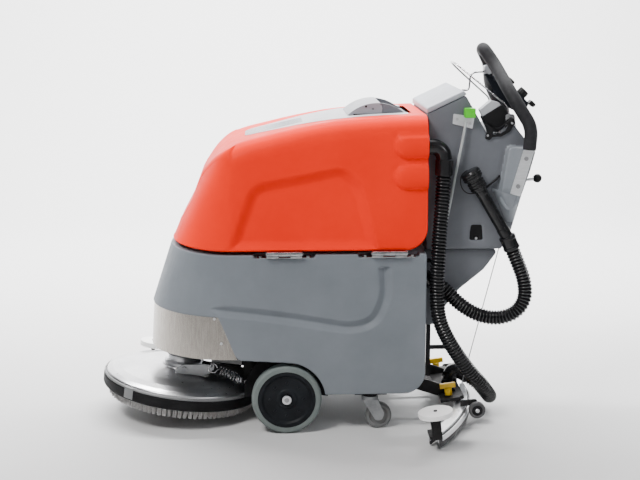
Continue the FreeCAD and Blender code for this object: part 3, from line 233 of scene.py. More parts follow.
MATERIALS = {
    "orange": surface("orange_shell", (0.88, 0.016, 0.0008), (0.94, 0.020, 0.001), (0.36, 0.46), grain=0.10,
                      tone_scale=5, specular=0.03),
    "tank": surface("grey_tank", (0.148, 0.166, 0.186), (0.172, 0.192, 0.214), (0.42, 0.58), grain=0.16,
                    tone_scale=6, dust=0.06, specular=0.22),
    "column": surface("dark_grey_column", (0.118, 0.126, 0.142), (0.14, 0.149, 0.167), (0.38, 0.54),
                      grain=0.2, tone_scale=7, specular=0.28),
    "ear": surface("column_ear", (0.2, 0.22, 0.245), (0.235, 0.255, 0.28), (0.40, 0.55), grain=0.15,
                   specular=0.35),
    "cap": surface("cap_grey", (0.34, 0.36, 0.4), (0.39, 0.41, 0.45), (0.38, 0.52), grain=0.12),
    "lid": surface("drum_lid_grey", (0.26, 0.265, 0.295), (0.30, 0.305, 0.335), (0.38, 0.52), grain=0.12),
    "panel": surface("light_grey_panel", (0.42, 0.43, 0.46), (0.47, 0.48, 0.51), (0.35, 0.5), grain=0.12),
    "cover": surface("brushed_steel_cover", (0.31, 0.285, 0.255), (0.42, 0.395, 0.36), (0.20, 0.30),
                     metal=1.0, tone_scale=22, grain_scale=60, grain=0.4, stretch=(16, 16, 0.2), dust=0.03),
    "dome": surface("polished_steel", (0.58, 0.58, 0.59), (0.68, 0.68, 0.69), (0.27, 0.31), metal=1.0,
                    tone_scale=14, grain_scale=300, grain=0.02, dust=0.03),
    "zinc": surface("zinc_plate", (0.58, 0.59, 0.61), (0.74, 0.74, 0.75), (0.26, 0.40), metal=1.0,
                    tone_scale=40, grain_scale=900, grain=0.08),
    "aluminium": surface("satin_aluminium", (0.78, 0.79, 0.81), (0.90, 0.91, 0.93), (0.30, 0.42), metal=0.85,
                         tone_scale=25, grain_scale=500, grain=0.1, stretch=(1, 1, 6), dust=0.05),
    "cast": surface("cast_motor", (0.13, 0.135, 0.14), (0.2, 0.205, 0.21), (0.45, 0.65), metal=0.6,
                    grain=0.35, grain_scale=260),
    "black": surface("black_moulding", (0.006, 0.006, 0.007), (0.012, 0.012, 0.013), (0.42, 0.58),
                     grain=0.14, tone_scale=12, specular=0.16),
    "case": surface("control_case", (0.013, 0.015, 0.019), (0.021, 0.023, 0.029), (0.5, 0.6), grain=0.3,
                    specular=0.0),
    "coat": surface("black_powder_coat", (0.008, 0.008, 0.009), (0.015, 0.015, 0.016), (0.45, 0.6),
                    grain=0.5, grain_scale=480, dust=0.02, specular=0.16),
    "hose": surface("hose_rubber", (0.004, 0.004, 0.005), (0.009, 0.009, 0.010), (0.16, 0.28), tone_scale=18,
                    grain=0.06, dust=0.01, specular=0.45),
    "foam": surface("grip_foam", (0.014, 0.014, 0.016), (0.022, 0.022, 0.025), (0.55, 0.7), tone_scale=60,
                    grain_scale=950, grain=0.4, specular=0.2),
    "tyre": surface("tyre_rubber", (0.12, 0.145, 0.142), (0.15, 0.175, 0.17), (0.6, 0.8), tone_scale=16,
                    grain=0.35, grain_scale=380, dust=0.10, specular=0.16),
    "disc": surface("wheel_disc", (0.004, 0.005, 0.007), (0.009, 0.011, 0.014), (0.4, 0.55), tone_scale=20,
                    grain=0.2, dust=0.01, specular=0.14),
    "caster": surface("caster_rubber", (0.08, 0.085, 0.09), (0.12, 0.125, 0.13), (0.5, 0.7), grain=0.3,
                      dust=0.2),
    "bumper": surface("bumper_rubber", (0.004, 0.004, 0.005), (0.009, 0.009, 0.010), (0.5, 0.65),
                      tone_scale=22, grain=0.25, dust=0.01, specular=0.10),
    # grey: the clip's own colour, and on the ring along the bumper's top edge a painted highlight
    "trim": surface("deck_trim", (0.10, 0.105, 0.11), (0.15, 0.155, 0.16), (0.35, 0.5), grain=0.2, dust=0.1),
    "fork": surface("fork_steel", (0.24, 0.25, 0.26), (0.36, 0.37, 0.38), (0.34, 0.5), metal=0.9,
                    tone_scale=30, grain=0.2, dust=0.06),
    "bristle": surface("nylon_bristle", (0.36, 0.35, 0.345), (0.56, 0.55, 0.54), (0.4, 0.6), tone_scale=160,
                       grain=0.2, dust=0.06),
    "roller": surface("white_nylon", (0.86, 0.86, 0.85), (0.92, 0.92, 0.91), (0.35, 0.5), tone_scale=24,
                      grain=0.12, dust=0.03),
    "blade": surface("blade_rubber", (0.04, 0.04, 0.044), (0.06, 0.06, 0.066), (0.45, 0.65), grain=0.25,
                     dust=0.1),
    "yellow": surface("yellow_knob", (0.86, 0.5, 0.0005), (0.92, 0.56, 0.001), (0.28, 0.42), grain=0.1),
    "green": surface("green_tap", (0.06, 0.55, 0.01), (0.08, 0.62, 0.015), (0.25, 0.4), grain=0.1),
    "clear": surface("clear_tube", (0.62, 0.66, 0.66), (0.74, 0.78, 0.78), (0.12, 0.25), grain=0.05,
                     clear=0.45),
    "wire": surface("steel_wire", (0.30, 0.30, 0.31), (0.45, 0.45, 0.46), (0.3, 0.5), metal=1.0,
                    tone_scale=300, grain=0.4),
    "hinge": surface("worn_steel_hinge", (0.22, 0.22, 0.23), (0.60, 0.60, 0.61), (0.14, 0.3), metal=1.0,
                     tone_scale=45, grain_scale=600, grain=0.2, stretch=(1, 1, 8)),
    # painted shade: near-black put on sheets and faces where shade falls, in the wheel arches, the column's
    # recess and the shaft under the lid
    "painted_shade": surface("dark_gap", (0.006, 0.006, 0.007), (0.012, 0.012, 0.013), (0.6, 0.8), grain=0.2,
                    specular=0.1),
    "battery": surface("battery_case", (0.020, 0.021, 0.024), (0.032, 0.033, 0.037), (0.4, 0.6), grain=0.3),
}


# ---- mesh tools

def piece(name, mesh, look, body=None, replaces=(), smooth_angle=radians(42)):
    """Puts a finished mesh in the scene, on its CAD body."""
    obj = in_scene(name, mesh)
    mesh.name = name
    mesh.materials.clear()
    mesh.materials.append(MATERIALS[look])
    mesh.polygons.foreach_set("use_smooth", [True] * len(mesh.polygons))
    mesh.set_sharp_from_angle(angle=smooth_angle)
    if body:
        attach(obj, body)
    if replaces:
        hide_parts(*replaces)
    return obj


def mesh_of(corners, faces):
    mesh = bpy.data.meshes.new("mesh")
    mesh.from_pydata([tuple(corner) for corner in corners], [], faces)
    mesh.update()
    return mesh


def joined(*meshes):
    """Several meshes as one."""
    builder = bmesh.new()
    for mesh in meshes:
        builder.from_mesh(mesh)
    whole = bpy.data.meshes.new("joined")
    builder.to_mesh(whole)
    builder.free()
    return whole


def moved(mesh, matrix):
    mesh.transform(matrix)
    if matrix.determinant() < 0:
        mesh.flip_normals()
    return mesh


def grid(corners, across, around, closed=True):
    """Quads over rows of the same number of points, each row closed into a ring or left open."""
    faces = []
    for row in range(across - 1):
        for i in range(around if closed else around - 1):
            a = row * around + i
            b = row * around + (i + 1) % around
            faces.append((a, b, b + around, a + around))
    return mesh_of(corners, faces)


def cleaned(mesh, cut=None, weld=0.0, close=False):
    """Faces cut away, near points welded, open ends closed, and every face turned outward."""
    builder = bmesh.new()
    builder.from_mesh(mesh)
    if cut:
        away = [face for face in builder.faces if cut(face.calc_center_median())]
        bmesh.ops.delete(builder, geom=away, context="FACES")
    if weld:
        bmesh.ops.remove_doubles(builder, verts=builder.verts, dist=weld)
    if close:
        bmesh.ops.holes_fill(builder, edges=[edge for edge in builder.edges if edge.is_boundary])
    bmesh.ops.recalc_face_normals(builder, faces=builder.faces)
    builder.to_mesh(mesh)
    builder.free()
    return mesh


def polar(radius, turn, z=0.0):
    """The point at a radius and an angle about Z."""
    return Vector((radius * cos(turn), radius * sin(turn), z))


def lathe(profile, steps):
    """A (radius, z) profile turned about Z."""
    corners = []
    for radius, z in profile:
        corners += [polar(radius, 2 * pi * step / steps, z) for step in range(steps)]
    return grid(corners, len(profile), steps)


def rounded(points, closed=False, steps=5):
    """A profile with its corners rounded: a point is (u, v) or (u, v, radius)."""
    result = []
    count = len(points)
    for index, point in enumerate(points):
        here = Vector(point[:2])
        if len(point) < 3 or (not closed and index in (0, count - 1)):
            result.append(tuple(here))
            continue
        back = Vector(points[index - 1][:2]) - here
        ahead = Vector(points[(index + 1) % count][:2]) - here
        half = back.angle(ahead) / 2
        reach = min(point[2] / tan(half), 0.49 * back.length, 0.49 * ahead.length)
        start = here + back.normalized() * reach
        end = here + ahead.normalized() * reach
        for step in range(steps + 1):
            t = step / steps
            result.append(tuple(start.lerp(here, t).lerp(here.lerp(end, t), t)))
    return result


def turned(profile, sides=24, steps=3):
    """A profile with rounded corners, turned about Z."""
    return lathe(rounded(profile, steps=steps), sides)


def mirrored(half):
    """A closed profile from its half above z = 0."""
    low = [(radius, -z, *corner) for radius, z, *corner in half]
    return [*low, *reversed(half), low[0]]


def about_y(pivot, degrees):
    """A turn about the Y axis through a pivot."""
    turn = Matrix.Rotation(radians(degrees), 4, "Y")
    return Matrix.Translation(pivot) @ turn @ Matrix.Translation(-pivot)


def tube(line, radius, sides):
    """A round skin along a line of points; radius is a number or a function of the distance along."""
    reach = 0.0
    heading = (line[1] - line[0]).normalized()
    side = heading.orthogonal().normalized()
    corners = []
    for index, point in enumerate(line):
        if index:
            reach += (point - line[index - 1]).length
        ahead = line[min(index + 1, len(line) - 1)] - line[max(index - 1, 0)]
        ahead.normalize()
        side = (side - ahead * side.dot(ahead)).normalized()
        up = ahead.cross(side)
        r = radius(reach) if callable(radius) else radius
        for step in range(sides):
            turn = 2 * pi * step / sides
            corners.append(point + (side * cos(turn) + up * sin(turn)) * r)
    return cleaned(grid(corners, len(line), sides), close=True)


def placed(mesh, place, axis):
    """Z of the mesh turned onto an axis, at a place."""
    turn = Vector(axis).normalized().to_track_quat("Z", "Y").to_matrix().to_4x4()
    return moved(mesh, Matrix.Translation(place) @ turn)


def body_of(node):
    return frame["nodes"][node].parent.name.split(":")[-1]


def even(line, spacing):
    """The same line in equal steps."""
    lengths = [0.0]
    for a, b in zip(line, line[1:]):
        lengths.append(lengths[-1] + (b - a).length)
    count = max(2, round(lengths[-1] / spacing))
    result = []
    index = 0
    for step in range(count + 1):
        want = lengths[-1] * step / count
        while index < len(line) - 2 and lengths[index + 1] < want:
            index += 1
        span = lengths[index + 1] - lengths[index]
        result.append(line[index].lerp(line[index + 1], (want - lengths[index]) / span))
    return result


# ---- cords

SUCTION_HOSE = (
    (0.341, -0.211, 0.736), (0.3373, -0.2165, 0.660), (0.331, -0.224, 0.580), (0.326, -0.229, 0.490),
    (0.324, -0.229, 0.400), (0.332, -0.226, 0.325), (0.360, -0.218, 0.264), (0.394, -0.207, 0.210),
    (0.430, -0.193, 0.160), (0.466, -0.172, 0.118), (0.490, -0.146, 0.084), (0.506, -0.106, 0.058),
    (0.510, -0.062, 0.046), (0.503, -0.024, 0.052), (0.4836, -0.001, 0.0703), (0.4558, 0.0, 0.0881),
)
DRAIN_HOSE = (
    (0.541, -0.200, 0.522), (0.557, -0.2005, 0.485), (0.578, -0.203, 0.432), (0.583, -0.203, 0.378),
    (0.556, -0.202, 0.335), (0.504, -0.200, 0.319), (0.448, -0.196, 0.329), (0.402, -0.190, 0.356),
    (0.364, -0.187, 0.392), (0.336, -0.185, 0.419), (0.313, -0.185, 0.430),
)
LEVEL_TUBE = (
    (0.4045, -0.184, 0.882), (0.396, -0.184, 0.826), (0.380, -0.185, 0.745), (0.366, -0.185, 0.660),
    (0.350, -0.184, 0.575), (0.337, -0.184, 0.4944),
)
LIFT_WIRE = ((0.522, -0.120, 0.524), (0.476, -0.090, 0.306), (0.4293, -0.0600, 0.0845))
HOSE_DIAMETER = 0.043
RIB_PITCH = 0.0095
RIB_DEPTH = 0.0042


def route_line(name, points):
    """Points read from the route's smooth spline."""
    curve = bpy.data.curves.new(name, "CURVE")
    curve.dimensions = "3D"
    curve.resolution_u = 24
    spline = curve.splines.new("NURBS")
    spline.points.add(len(points) - 1)
    for control, point in zip(spline.points, points):
        control.co = (*point, 1)
    spline.order_u = 3
    spline.use_endpoint_u = True
    holder = in_scene(name + "_route", curve)
    bpy.context.view_layer.update()
    mesh = bpy.data.meshes.new_from_object(holder)
    line = [vertex.co.copy() for vertex in mesh.vertices]
    bpy.data.objects.remove(holder)
    return line


def ribbed(reach):
    wave = 0.5 + 0.5 * cos(2 * pi * reach / RIB_PITCH)
    return HOSE_DIAMETER / 2 - RIB_DEPTH * (1 - wave ** 0.6)


def corrugated_hose(name, points, nodes):
    line = even(route_line(name, points), RIB_PITCH / 8)
    obj = piece(name, tube(line, ribbed, 26), "hose", replaces=nodes)
    return obj


def smooth_cord(name, points, diameter, look, node):
    line = even(route_line(name, points), 0.004)
    obj = piece(name, tube(line, diameter / 2, 14), look, replaces=(node,))
    return obj


def cords():
    suction = corrugated_hose("hose_suction", SUCTION_HOSE, ("suction_hose", "suction_hose_low"))
    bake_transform(suction)
    drain = corrugated_hose("hose_drain", DRAIN_HOSE, ("drain_hose",))
    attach(drain, "chassis")
    level = smooth_cord("tube_level", LEVEL_TUBE, 0.008, "clear", "level_tube")
    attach(level, "chassis")
    pull = smooth_cord("wire_pull", LIFT_WIRE, 0.003, "wire", "lift_wire")
    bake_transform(pull)


camera()
cords()
floor()
studio()


# ---- CAD nodes: rounded copies and dressed originals

BROKEN_EDGE = 0.0008
SECOND_LOOKS = {
    "battery_connector": ("panel", lambda spot: spot.z - 0.8935 > (spot.x - 0.459) * 0.62),
    "lift_lever": ("black", lambda spot: spot.x > 0.612),
    "hose_fittings": ("aluminium", lambda spot: spot.z > 0.85),
    "deck_arm": ("fork", lambda spot: spot.y < -0.09),
    "brush_motor": ("zinc", lambda spot: spot.z < 0.19),
    "rear_column": ("ear", lambda spot: abs(spot.y) > 0.1712),
    "control_housing": ("panel", lambda spot: spot.z > 1.0045),
    "wire_fittings": ("black", lambda spot: spot.z < 0.80),
    "body_screws": ("wire", lambda spot: spot.x > 0.5),
}


def second_look(node, mesh):
    """The other finish of a node that has two, on the faces where it belongs."""
    if node in SECOND_LOOKS:
        other, belongs = SECOND_LOOKS[node]
        mesh.materials.append(MATERIALS[other])
        for face in mesh.polygons:
            face.material_index = int(belongs(face.center))


def softened(node, look, voxel, passes, keep):
    """A CAD node's shape as a moulding, with every edge rounded off."""
    mesh = bpy.data.meshes.new_from_object(frame["nodes"][node])
    obj = in_scene(node + "_moulding", mesh)
    remesh = obj.modifiers.new("remesh", "REMESH")
    remesh.mode = "VOXEL"
    remesh.voxel_size = voxel
    smooth = obj.modifiers.new("smooth", "SMOOTH")
    smooth.factor = 0.5
    smooth.iterations = passes
    if keep < 1:
        thin = obj.modifiers.new("thin", "DECIMATE")
        thin.ratio = keep
    bpy.context.view_layer.update()
    made = bpy.data.meshes.new_from_object(obj.evaluated_get(bpy.context.evaluated_depsgraph_get()))
    bpy.data.objects.remove(obj)
    piece(node + "_moulding", made, look, body_of(node), (node,), smooth_angle=radians(75))
    second_look(node, made)


def dressed(node, look):
    """A carried CAD node with its own finish, or two, and slightly broken edges."""
    obj = frame["nodes"][node]
    mesh = obj.data
    mesh.materials.clear()
    mesh.materials.append(MATERIALS[look])
    second_look(node, mesh)
    if "custom_normal" in mesh.attributes:
        mesh.attributes.remove(mesh.attributes["custom_normal"])
    mesh.polygons.foreach_set("use_smooth", [True] * len(mesh.polygons))
    weld = obj.modifiers.new("weld", "WELD")
    weld.merge_threshold = 0.00001
    bevel = obj.modifiers.new("broken_edges", "BEVEL")
    bevel.width = BROKEN_EDGE
    bevel.segments = 2
    bevel.limit_method = "ANGLE"
    bevel.angle_limit = radians(35)
    bevel.use_clamp_overlap = True
    bevel.harden_normals = True


# ---- recovery tank (hood)

HALF_WIDTH = 0.250
HOOD_FLOOR = 0.530
REAR = 0.293
NOSE_START = -0.245
NOSE_TIP = -0.426
# over a rise of WALL_RISE the nose leans back by NOSE_LEAN and each side leans in by SIDE_LEAN
WALL_RISE = 0.4
NOSE_LEAN = 0.172
SIDE_LEAN = 0.012
HOOD_TOP = ((-0.400, 0.590), (-0.352, 0.680), (-0.336, 0.728), (-0.315, 0.761), (-0.291, 0.789),
            (-0.256, 0.814), (-0.216, 0.831), (-0.141, 0.850), (-0.058, 0.869), (0.053, 0.888),
            (0.192, 0.898), (0.301, 0.902))
# the nose takes this share of the wall's run, t from -0.4 to 0.4
NOSE_SHARE = 0.4
SHOULDER = 0.055
NOSE_SHOULDER = 0.010
REAR_CORNER = 0.062
EDGE_ROUND = 0.008
EDGE_ROWS = 4
ARCH = ((-0.270, 0.525), (-0.200, 0.722, 0.070), (0.066, 0.772, 0.080), (0.118, 0.715, 0.080), (0.164, 0.525))
ARCH_DEPTH = 0.017
ARCH_SLOPE = 0.036
BULGE_RADIUS = 0.0345
BULGE_RISE = 0.0175
BULGE_HEIGHTS = (0.822, 0.736)
BULGE_FRONT = 0.234
# the lid's opening: its front, its rear and half its width
LID_OPENING = (0.084, 0.254, 0.102)
RIB_PLACES = (-0.060, -0.034, -0.008, 0.018, 0.044)
RIB_START = -0.212
RIB_LENGTH = 0.165
RIB_HALF_WIDTH = 0.0024
RIB_SECTION = ((-1, 0.0004), (-0.45, 0.0018), (0.45, 0.0018), (1, 0.0004))


def hood_top(x):
    """The hood's height at x, smooth through its knots."""
    knots = HOOD_TOP
    if x <= knots[0][0]:
        return knots[0][1]
    if x >= knots[-1][0]:
        return knots[-1][1]
    i = max(j for j in range(len(knots) - 1) if knots[j][0] <= x)
    a, b = knots[i], knots[i + 1]
    before = knots[max(i - 1, 0)]
    after = knots[min(i + 2, len(knots) - 1)]
    start_slope = (b[1] - before[1]) / (b[0] - before[0])
    end_slope = (after[1] - a[1]) / (after[0] - a[0])
    span = b[0] - a[0]
    t = (x - a[0]) / span
    return ((2 * t ** 3 - 3 * t ** 2 + 1) * a[1] + (t ** 3 - 2 * t ** 2 + t) * span * start_slope
            + (-2 * t ** 3 + 3 * t ** 2) * b[1] + (t ** 3 - t ** 2) * span * end_slope)


def inside_distance(outline, x, z):
    """How far a point lies inside a closed outline, or minus how far outside."""
    best = 1e9
    inside = False
    for (x0, z0), (x1, z1) in zip(outline, outline[1:] + outline[:1]):
        span = Vector((x1 - x0, z1 - z0))
        offset = Vector((x - x0, z - z0))
        t = max(0.0, min(1.0, offset.dot(span) / span.length_squared)) if span.length_squared else 0.0
        best = min(best, (offset - span * t).length)
        if (z0 > z) != (z1 > z) and x < (x1 - x0) * (z - z0) / (z1 - z0) + x0:
            inside = not inside
    return best if inside else -best


def ease(t):
    t = max(0.0, min(1.0, t))
    return t * t * (3 - 2 * t)


ARCH_OUTLINE = rounded(ARCH, closed=True, steps=8)


def side_relief(x, z):
    """How far the side wall stands out (the bulges) or in (the arch)."""
    depth = 0.0
    if -0.28 < x < 0.17 and z < 0.79:
        depth = -ARCH_DEPTH * ease(inside_distance(ARCH_OUTLINE, x, z) / ARCH_SLOPE)
    for height in BULGE_HEIGHTS:
        past = max(0.0, BULGE_FRONT - x)
        room = 1 - ((z - height) ** 2 + past ** 2) / BULGE_RADIUS ** 2
        if room > 0:
            depth = max(depth, BULGE_RISE * room ** 0.5)
    return depth


def plan_point(t, z):
    """The wall's point and normal at height z; t runs from -1 (rear left) to 1 (rear right)."""
    rise = (z - HOOD_FLOOR) / WALL_RISE
    tip = NOSE_TIP + NOSE_LEAN * rise
    half = HALF_WIDTH - SIDE_LEAN * rise
    side = 1 if t > 0 else -1
    s = abs(t)
    if s < NOSE_SHARE:
        turn = s / NOSE_SHARE * pi / 2
        reach = NOSE_START - tip
        point = Vector((NOSE_START - reach * cos(turn), side * half * sin(turn)))
        normal = Vector((-half * cos(turn), side * reach * sin(turn))).normalized()
    else:
        point = Vector((NOSE_START + (REAR - NOSE_START) * (s - NOSE_SHARE) / (1 - NOSE_SHARE), side * half))
        normal = Vector((0, side))
    return point, normal


def wall_start(x):
    """The hood's lower edge, rounded up at the rear corner."""
    past = max(0.0, min(1.0, (x - (REAR - REAR_CORNER)) / REAR_CORNER))
    return HOOD_FLOOR + REAR_CORNER * (1 - sqrt(1 - past * past * 0.96))


def hood_shell():
    """The hood's outer skin, with the lid's opening, and the columns of points it is made from."""
    side_steps = 150
    nose_steps = 36
    side_share = 1 - NOSE_SHARE
    ts = [-1 + side_share * i / side_steps for i in range(side_steps)]
    ts += [NOSE_SHARE * (i / nose_steps - 1) for i in range(2 * nose_steps)]
    ts += [NOSE_SHARE + side_share * i / side_steps for i in range(side_steps + 1)]
    wall_rows = 104
    turn_rows = 9
    flat_rows = 30
    columns = []
    for t in ts:
        # the wall's top and its shoulder depend on each other
        top = 0.85
        for _ in range(12):
            point, normal = plan_point(t, top)
            shoulder = NOSE_SHOULDER + (SHOULDER - NOSE_SHOULDER) * abs(normal.y) ** 3
            top = hood_top(point.x) - shoulder
        low = wall_start(plan_point(t, HOOD_FLOOR)[0].x)
        column = []
        for row in range(EDGE_ROWS):
            angle = pi / 2 * row / EDGE_ROWS
            point, normal = plan_point(t, low)
            inset = EDGE_ROUND * (1 - sin(angle))
            column.append(Vector((*(point - normal * inset), low + EDGE_ROUND * (1 - cos(angle)))))
        for row in range(wall_rows):
            z = low + EDGE_ROUND + (top - low - EDGE_ROUND) * row / (wall_rows - 1)
            point, normal = plan_point(t, z)
            out = side_relief(point.x, z) if abs(normal.y) > 0.9 else 0.0
            column.append(Vector((*(point + normal * out), z)))
        edge, normal = plan_point(t, top)
        for row in range(1, turn_rows + 1):
            angle = pi / 2 * row / turn_rows
            spot = edge - normal * shoulder * (1 - cos(angle))
            column.append(Vector((*spot, hood_top(spot.x) - shoulder * (1 - sin(angle)))))
        start = Vector(column[-1].xy)
        goal = Vector((max(start.x, -0.2), 0))
        for row in range(1, flat_rows):
            spot = start.lerp(goal, (row / (flat_rows - 1)) ** 1.3)
            column.append(Vector((*spot, hood_top(spot.x))))
        columns.append(column)
    rows = len(columns[0])
    corners = [columns[i][row] for row in range(rows) for i in range(len(columns))]
    mesh = grid(corners, rows, len(columns), closed=False)
    x0, x1, half = LID_OPENING
    around = 0.006

    def under_lid(spot):
        return spot.z > 0.86 and x0 - around < spot.x < x1 + around and abs(spot.y) < half + around

    return cleaned(mesh, cut=under_lid, weld=0.00005), columns


def end_wall(columns):
    """The hood's flat rear wall, and the closed floor of its shell."""
    steps = 24
    corners = [left.lerp(right, step / steps) for left, right in zip(columns[0], columns[-1])
               for step in range(steps + 1)]
    wall = grid(corners, len(columns[0]), steps + 1, closed=False)
    rim = [column[0] for column in columns]
    step_up = 0.012
    corners = rim + [Vector((point.x * 0.97, point.y * 0.96, point.z + step_up)) for point in rim]
    corners += [Vector((point.x, 0, point.z + step_up)) for point in rim]
    base = grid(corners, 3, len(rim), closed=False)
    return wall, base


def hood():
    skin, columns = hood_shell()
    wall, base = end_wall(columns)
    shell = cleaned(joined(skin, wall, base), weld=0.0001)
    piece("hood_shell", shell, "orange", "hood", ("recovery_hood",), radians(50))


def hood_neck():
    """The shaft under the lid, down into the recovery tank, painted near-black as shade."""
    x0, x1, half = LID_OPENING
    middle = (x0 + x1) / 2
    outline = rounded([(x, y, 0.02) for x, y in ((x0, -half), (x1, -half), (x1, half), (x0, half))],
                      closed=True)
    rings = ((0.897, 1.0), (0.893, 0.985), (0.76, 0.97), (0.757, 0.6), (0.757, 0.01))
    corners = []
    for z, grow in rings:
        corners += [Vector((middle + (x - middle) * grow, y * grow, z)) for x, y in outline]
    neck = grid(corners, len(rings), len(outline))
    piece("hood_neck", neck, "painted_shade", "hood")


def panel_details():
    """Low lengthwise ribs on the hood's light top panel, narrow at both ends."""
    steps = 30
    for index, y in enumerate(RIB_PLACES):
        corners = []
        for step in range(steps + 1):
            x = RIB_START + RIB_LENGTH * step / steps
            from_end = max(0.02, 1.0 - abs(2 * step / steps - 1))
            half = RIB_HALF_WIDTH * sin(pi / 2 * min(1.0, from_end * 6))
            corners += [(x, y + across * half, hood_top(x) + rise) for across, rise in RIB_SECTION]
        rib = grid(corners, steps + 1, len(RIB_SECTION), closed=False)
        piece("panel_rib_%d" % index, rib, "ear", "hood")


def lid_details():
    """The small screw in the lid's left cheek."""
    spot = Vector((0.132, -0.1003, 0.918))
    head = turned(((0.0001, 0.0015), (0.0028, 0.0013, 0.0005), (0.0032, 0), (0.0032, -0.001)))
    piece("lid_screw", placed(head, spot, (0, -1, 0)), "black", "lid")


# ---- scrub deck

LIFT_ANGLE = 7.5
AXLE = Vector((-0.1, 0, 0.1))
DECK_CENTRE = Vector((-0.404, 0, 0))


def on_deck(mesh):
    """From the level deck, about its own axis, to its raised place."""
    return moved(mesh, about_y(AXLE, LIFT_ANGLE) @ Matrix.Translation(DECK_CENTRE))


def deck_dome():
    """The polished dome, thin at its rim, about the motor's opening."""
    profile = ((0.029, 0.100), (0.029, 0.104), (0.063, 0.104, 0.003), (0.066, 0.0985, 0.004), (0.110, 0.0958),
               (0.150, 0.0925, 0.03), (0.190, 0.0855, 0.03), (0.212, 0.0785, 0.012), (0.226, 0.0715, 0.006),
               (0.2288, 0.063), (0.225, 0.062), (0.205, 0.077), (0.15, 0.088), (0.066, 0.0945),
               (0.029, 0.100))
    piece("dome_polished", on_deck(turned(profile, 160, 5)), "dome", "deck", ("deck_dome",),
          radians(30))


def deck_rim():
    """The rubber band round the dome, and along its rounded top edge a grey ring that is a painted highlight
    of the band's lip.
    """
    bumper = ((0.221, 0.062), (0.221, 0.028), (0.2315, 0.0285, 0.003), (0.2345, 0.034, 0.003),
              (0.235, 0.0555, 0.002), (0.2335, 0.0595, 0.001), (0.2290, 0.0605), (0.221, 0.062))
    piece("bumper_band", on_deck(turned(bumper, 160, 4)), "bumper", "deck", ("deck_bumper",))
    trim = ((0.2285, 0.0605), (0.2335, 0.0605, 0.001), (0.2342, 0.0635, 0.0015), (0.2325, 0.0665, 0.0015),
            (0.2292, 0.0672), (0.2285, 0.0605))
    piece("bumper_trim", on_deck(turned(trim, 160)), "trim", "deck")


CLIP_START = 228
CLIP_WIDTH = 8


def deck_clip():
    """The grey clamp that closes the bumper's band at the front."""
    section = ((0.2335, 0.0325), (0.2362, 0.034), (0.2366, 0.0475), (0.2362, 0.0660), (0.2315, 0.0690))
    turns = [radians(CLIP_START + step) for step in range(CLIP_WIDTH + 1)]
    corners = [polar(radius, turn, z) for turn in turns for radius, z in section]
    clip = grid(corners, len(turns), len(section), closed=False)
    piece("bumper_clip", on_deck(clip), "trim", "deck")


TUFT_STRANDS = 20
TUFT_ROWS = ((0.2095, 88), (0.193, 78), (0.172, 66), (0.148, 54), (0.120, 42), (0.09, 28))
TUFT_ROOT = 0.0375
TUFT_LENGTH = 0.0355


def brush():
    """Backing plate and rows of nylon tufts, each splayed a little."""
    plate = ((0.0101, 0.040), (0.0101, 0.088), (0.040, 0.088, 0.003), (0.045, 0.050), (0.213, 0.048, 0.002),
             (0.213, 0.036, 0.002), (0.06, 0.036), (0.0101, 0.040))
    piece("brush_plate", on_deck(turned(plate, 96)), "black", "brush")
    chance = random.Random(4)
    corners = []
    faces = []
    for radius, tufts in TUFT_ROWS:
        for tuft in range(tufts):
            around = 2 * pi * (tuft + 0.5 * (radius > 0.2)) / tufts
            root = polar(radius, around, TUFT_ROOT)
            for _ in range(TUFT_STRANDS):
                spread = chance.random() ** 0.5
                heading = chance.uniform(0, 2 * pi)
                offset = polar(spread, heading)
                top = root + offset * 0.0038
                tip = root + offset * 0.0052 - Vector((0, 0, TUFT_LENGTH + 0.0012 * chance.random()))
                spot = len(corners)
                for end, width in ((top, 0.0010), (tip, 0.0008)):
                    corners += [end + polar(width, heading + corner * 2 * pi / 3) for corner in range(3)]
                for corner in range(3):
                    after = (corner + 1) % 3
                    faces.append((spot + corner, spot + after, spot + 3 + after, spot + 3 + corner))
                faces.append((spot + 5, spot + 4, spot + 3))
    piece("brush_tufts", on_deck(mesh_of(corners, faces)), "bristle", "brush", ("scrub_brush",))


SPRING_TURNS = 9
SPRING_WIRE = 0.0040
COIL_RADIUS = 0.0118


def deck_spring():
    """The wound lift spring with its two loops."""
    anchor = Vector((-0.213, -0.125, 0.117))
    front = Vector((-0.312, -0.125, 0.161))
    along = (front - anchor).normalized()
    side = Vector((0, 1, 0))
    up = along.cross(side)
    start = anchor + along * 0.014
    run = (front - anchor).length - 0.034
    steps = SPRING_TURNS * 20
    line = []
    for step in range(25):
        turn = radians(90 + 300 * step / 24)
        line.append(anchor + (along * cos(turn) + up * sin(turn)) * 0.008)
    for step in range(steps + 1):
        turn = 2 * pi * step / 20
        out = (side * cos(turn) + up * sin(turn)) * COIL_RADIUS
        line.append(start + along * run * step / steps + out)
    for step in range(31):
        turn = radians(180 + 330 * step / 30)
        line.append(front + (along * cos(turn) - up * sin(turn)) * 0.013)
    coil = tube(even(line, 0.0016), SPRING_WIRE / 2, 10)
    piece("spring_coil", coil, "hinge", "spring", ("deck_spring",))


# ---- wheels

ARCH_RADIUS = 0.121
SHADE_SHEET_SIDE = 0.168
SHADE_SHEET_DEPTH = 0.004


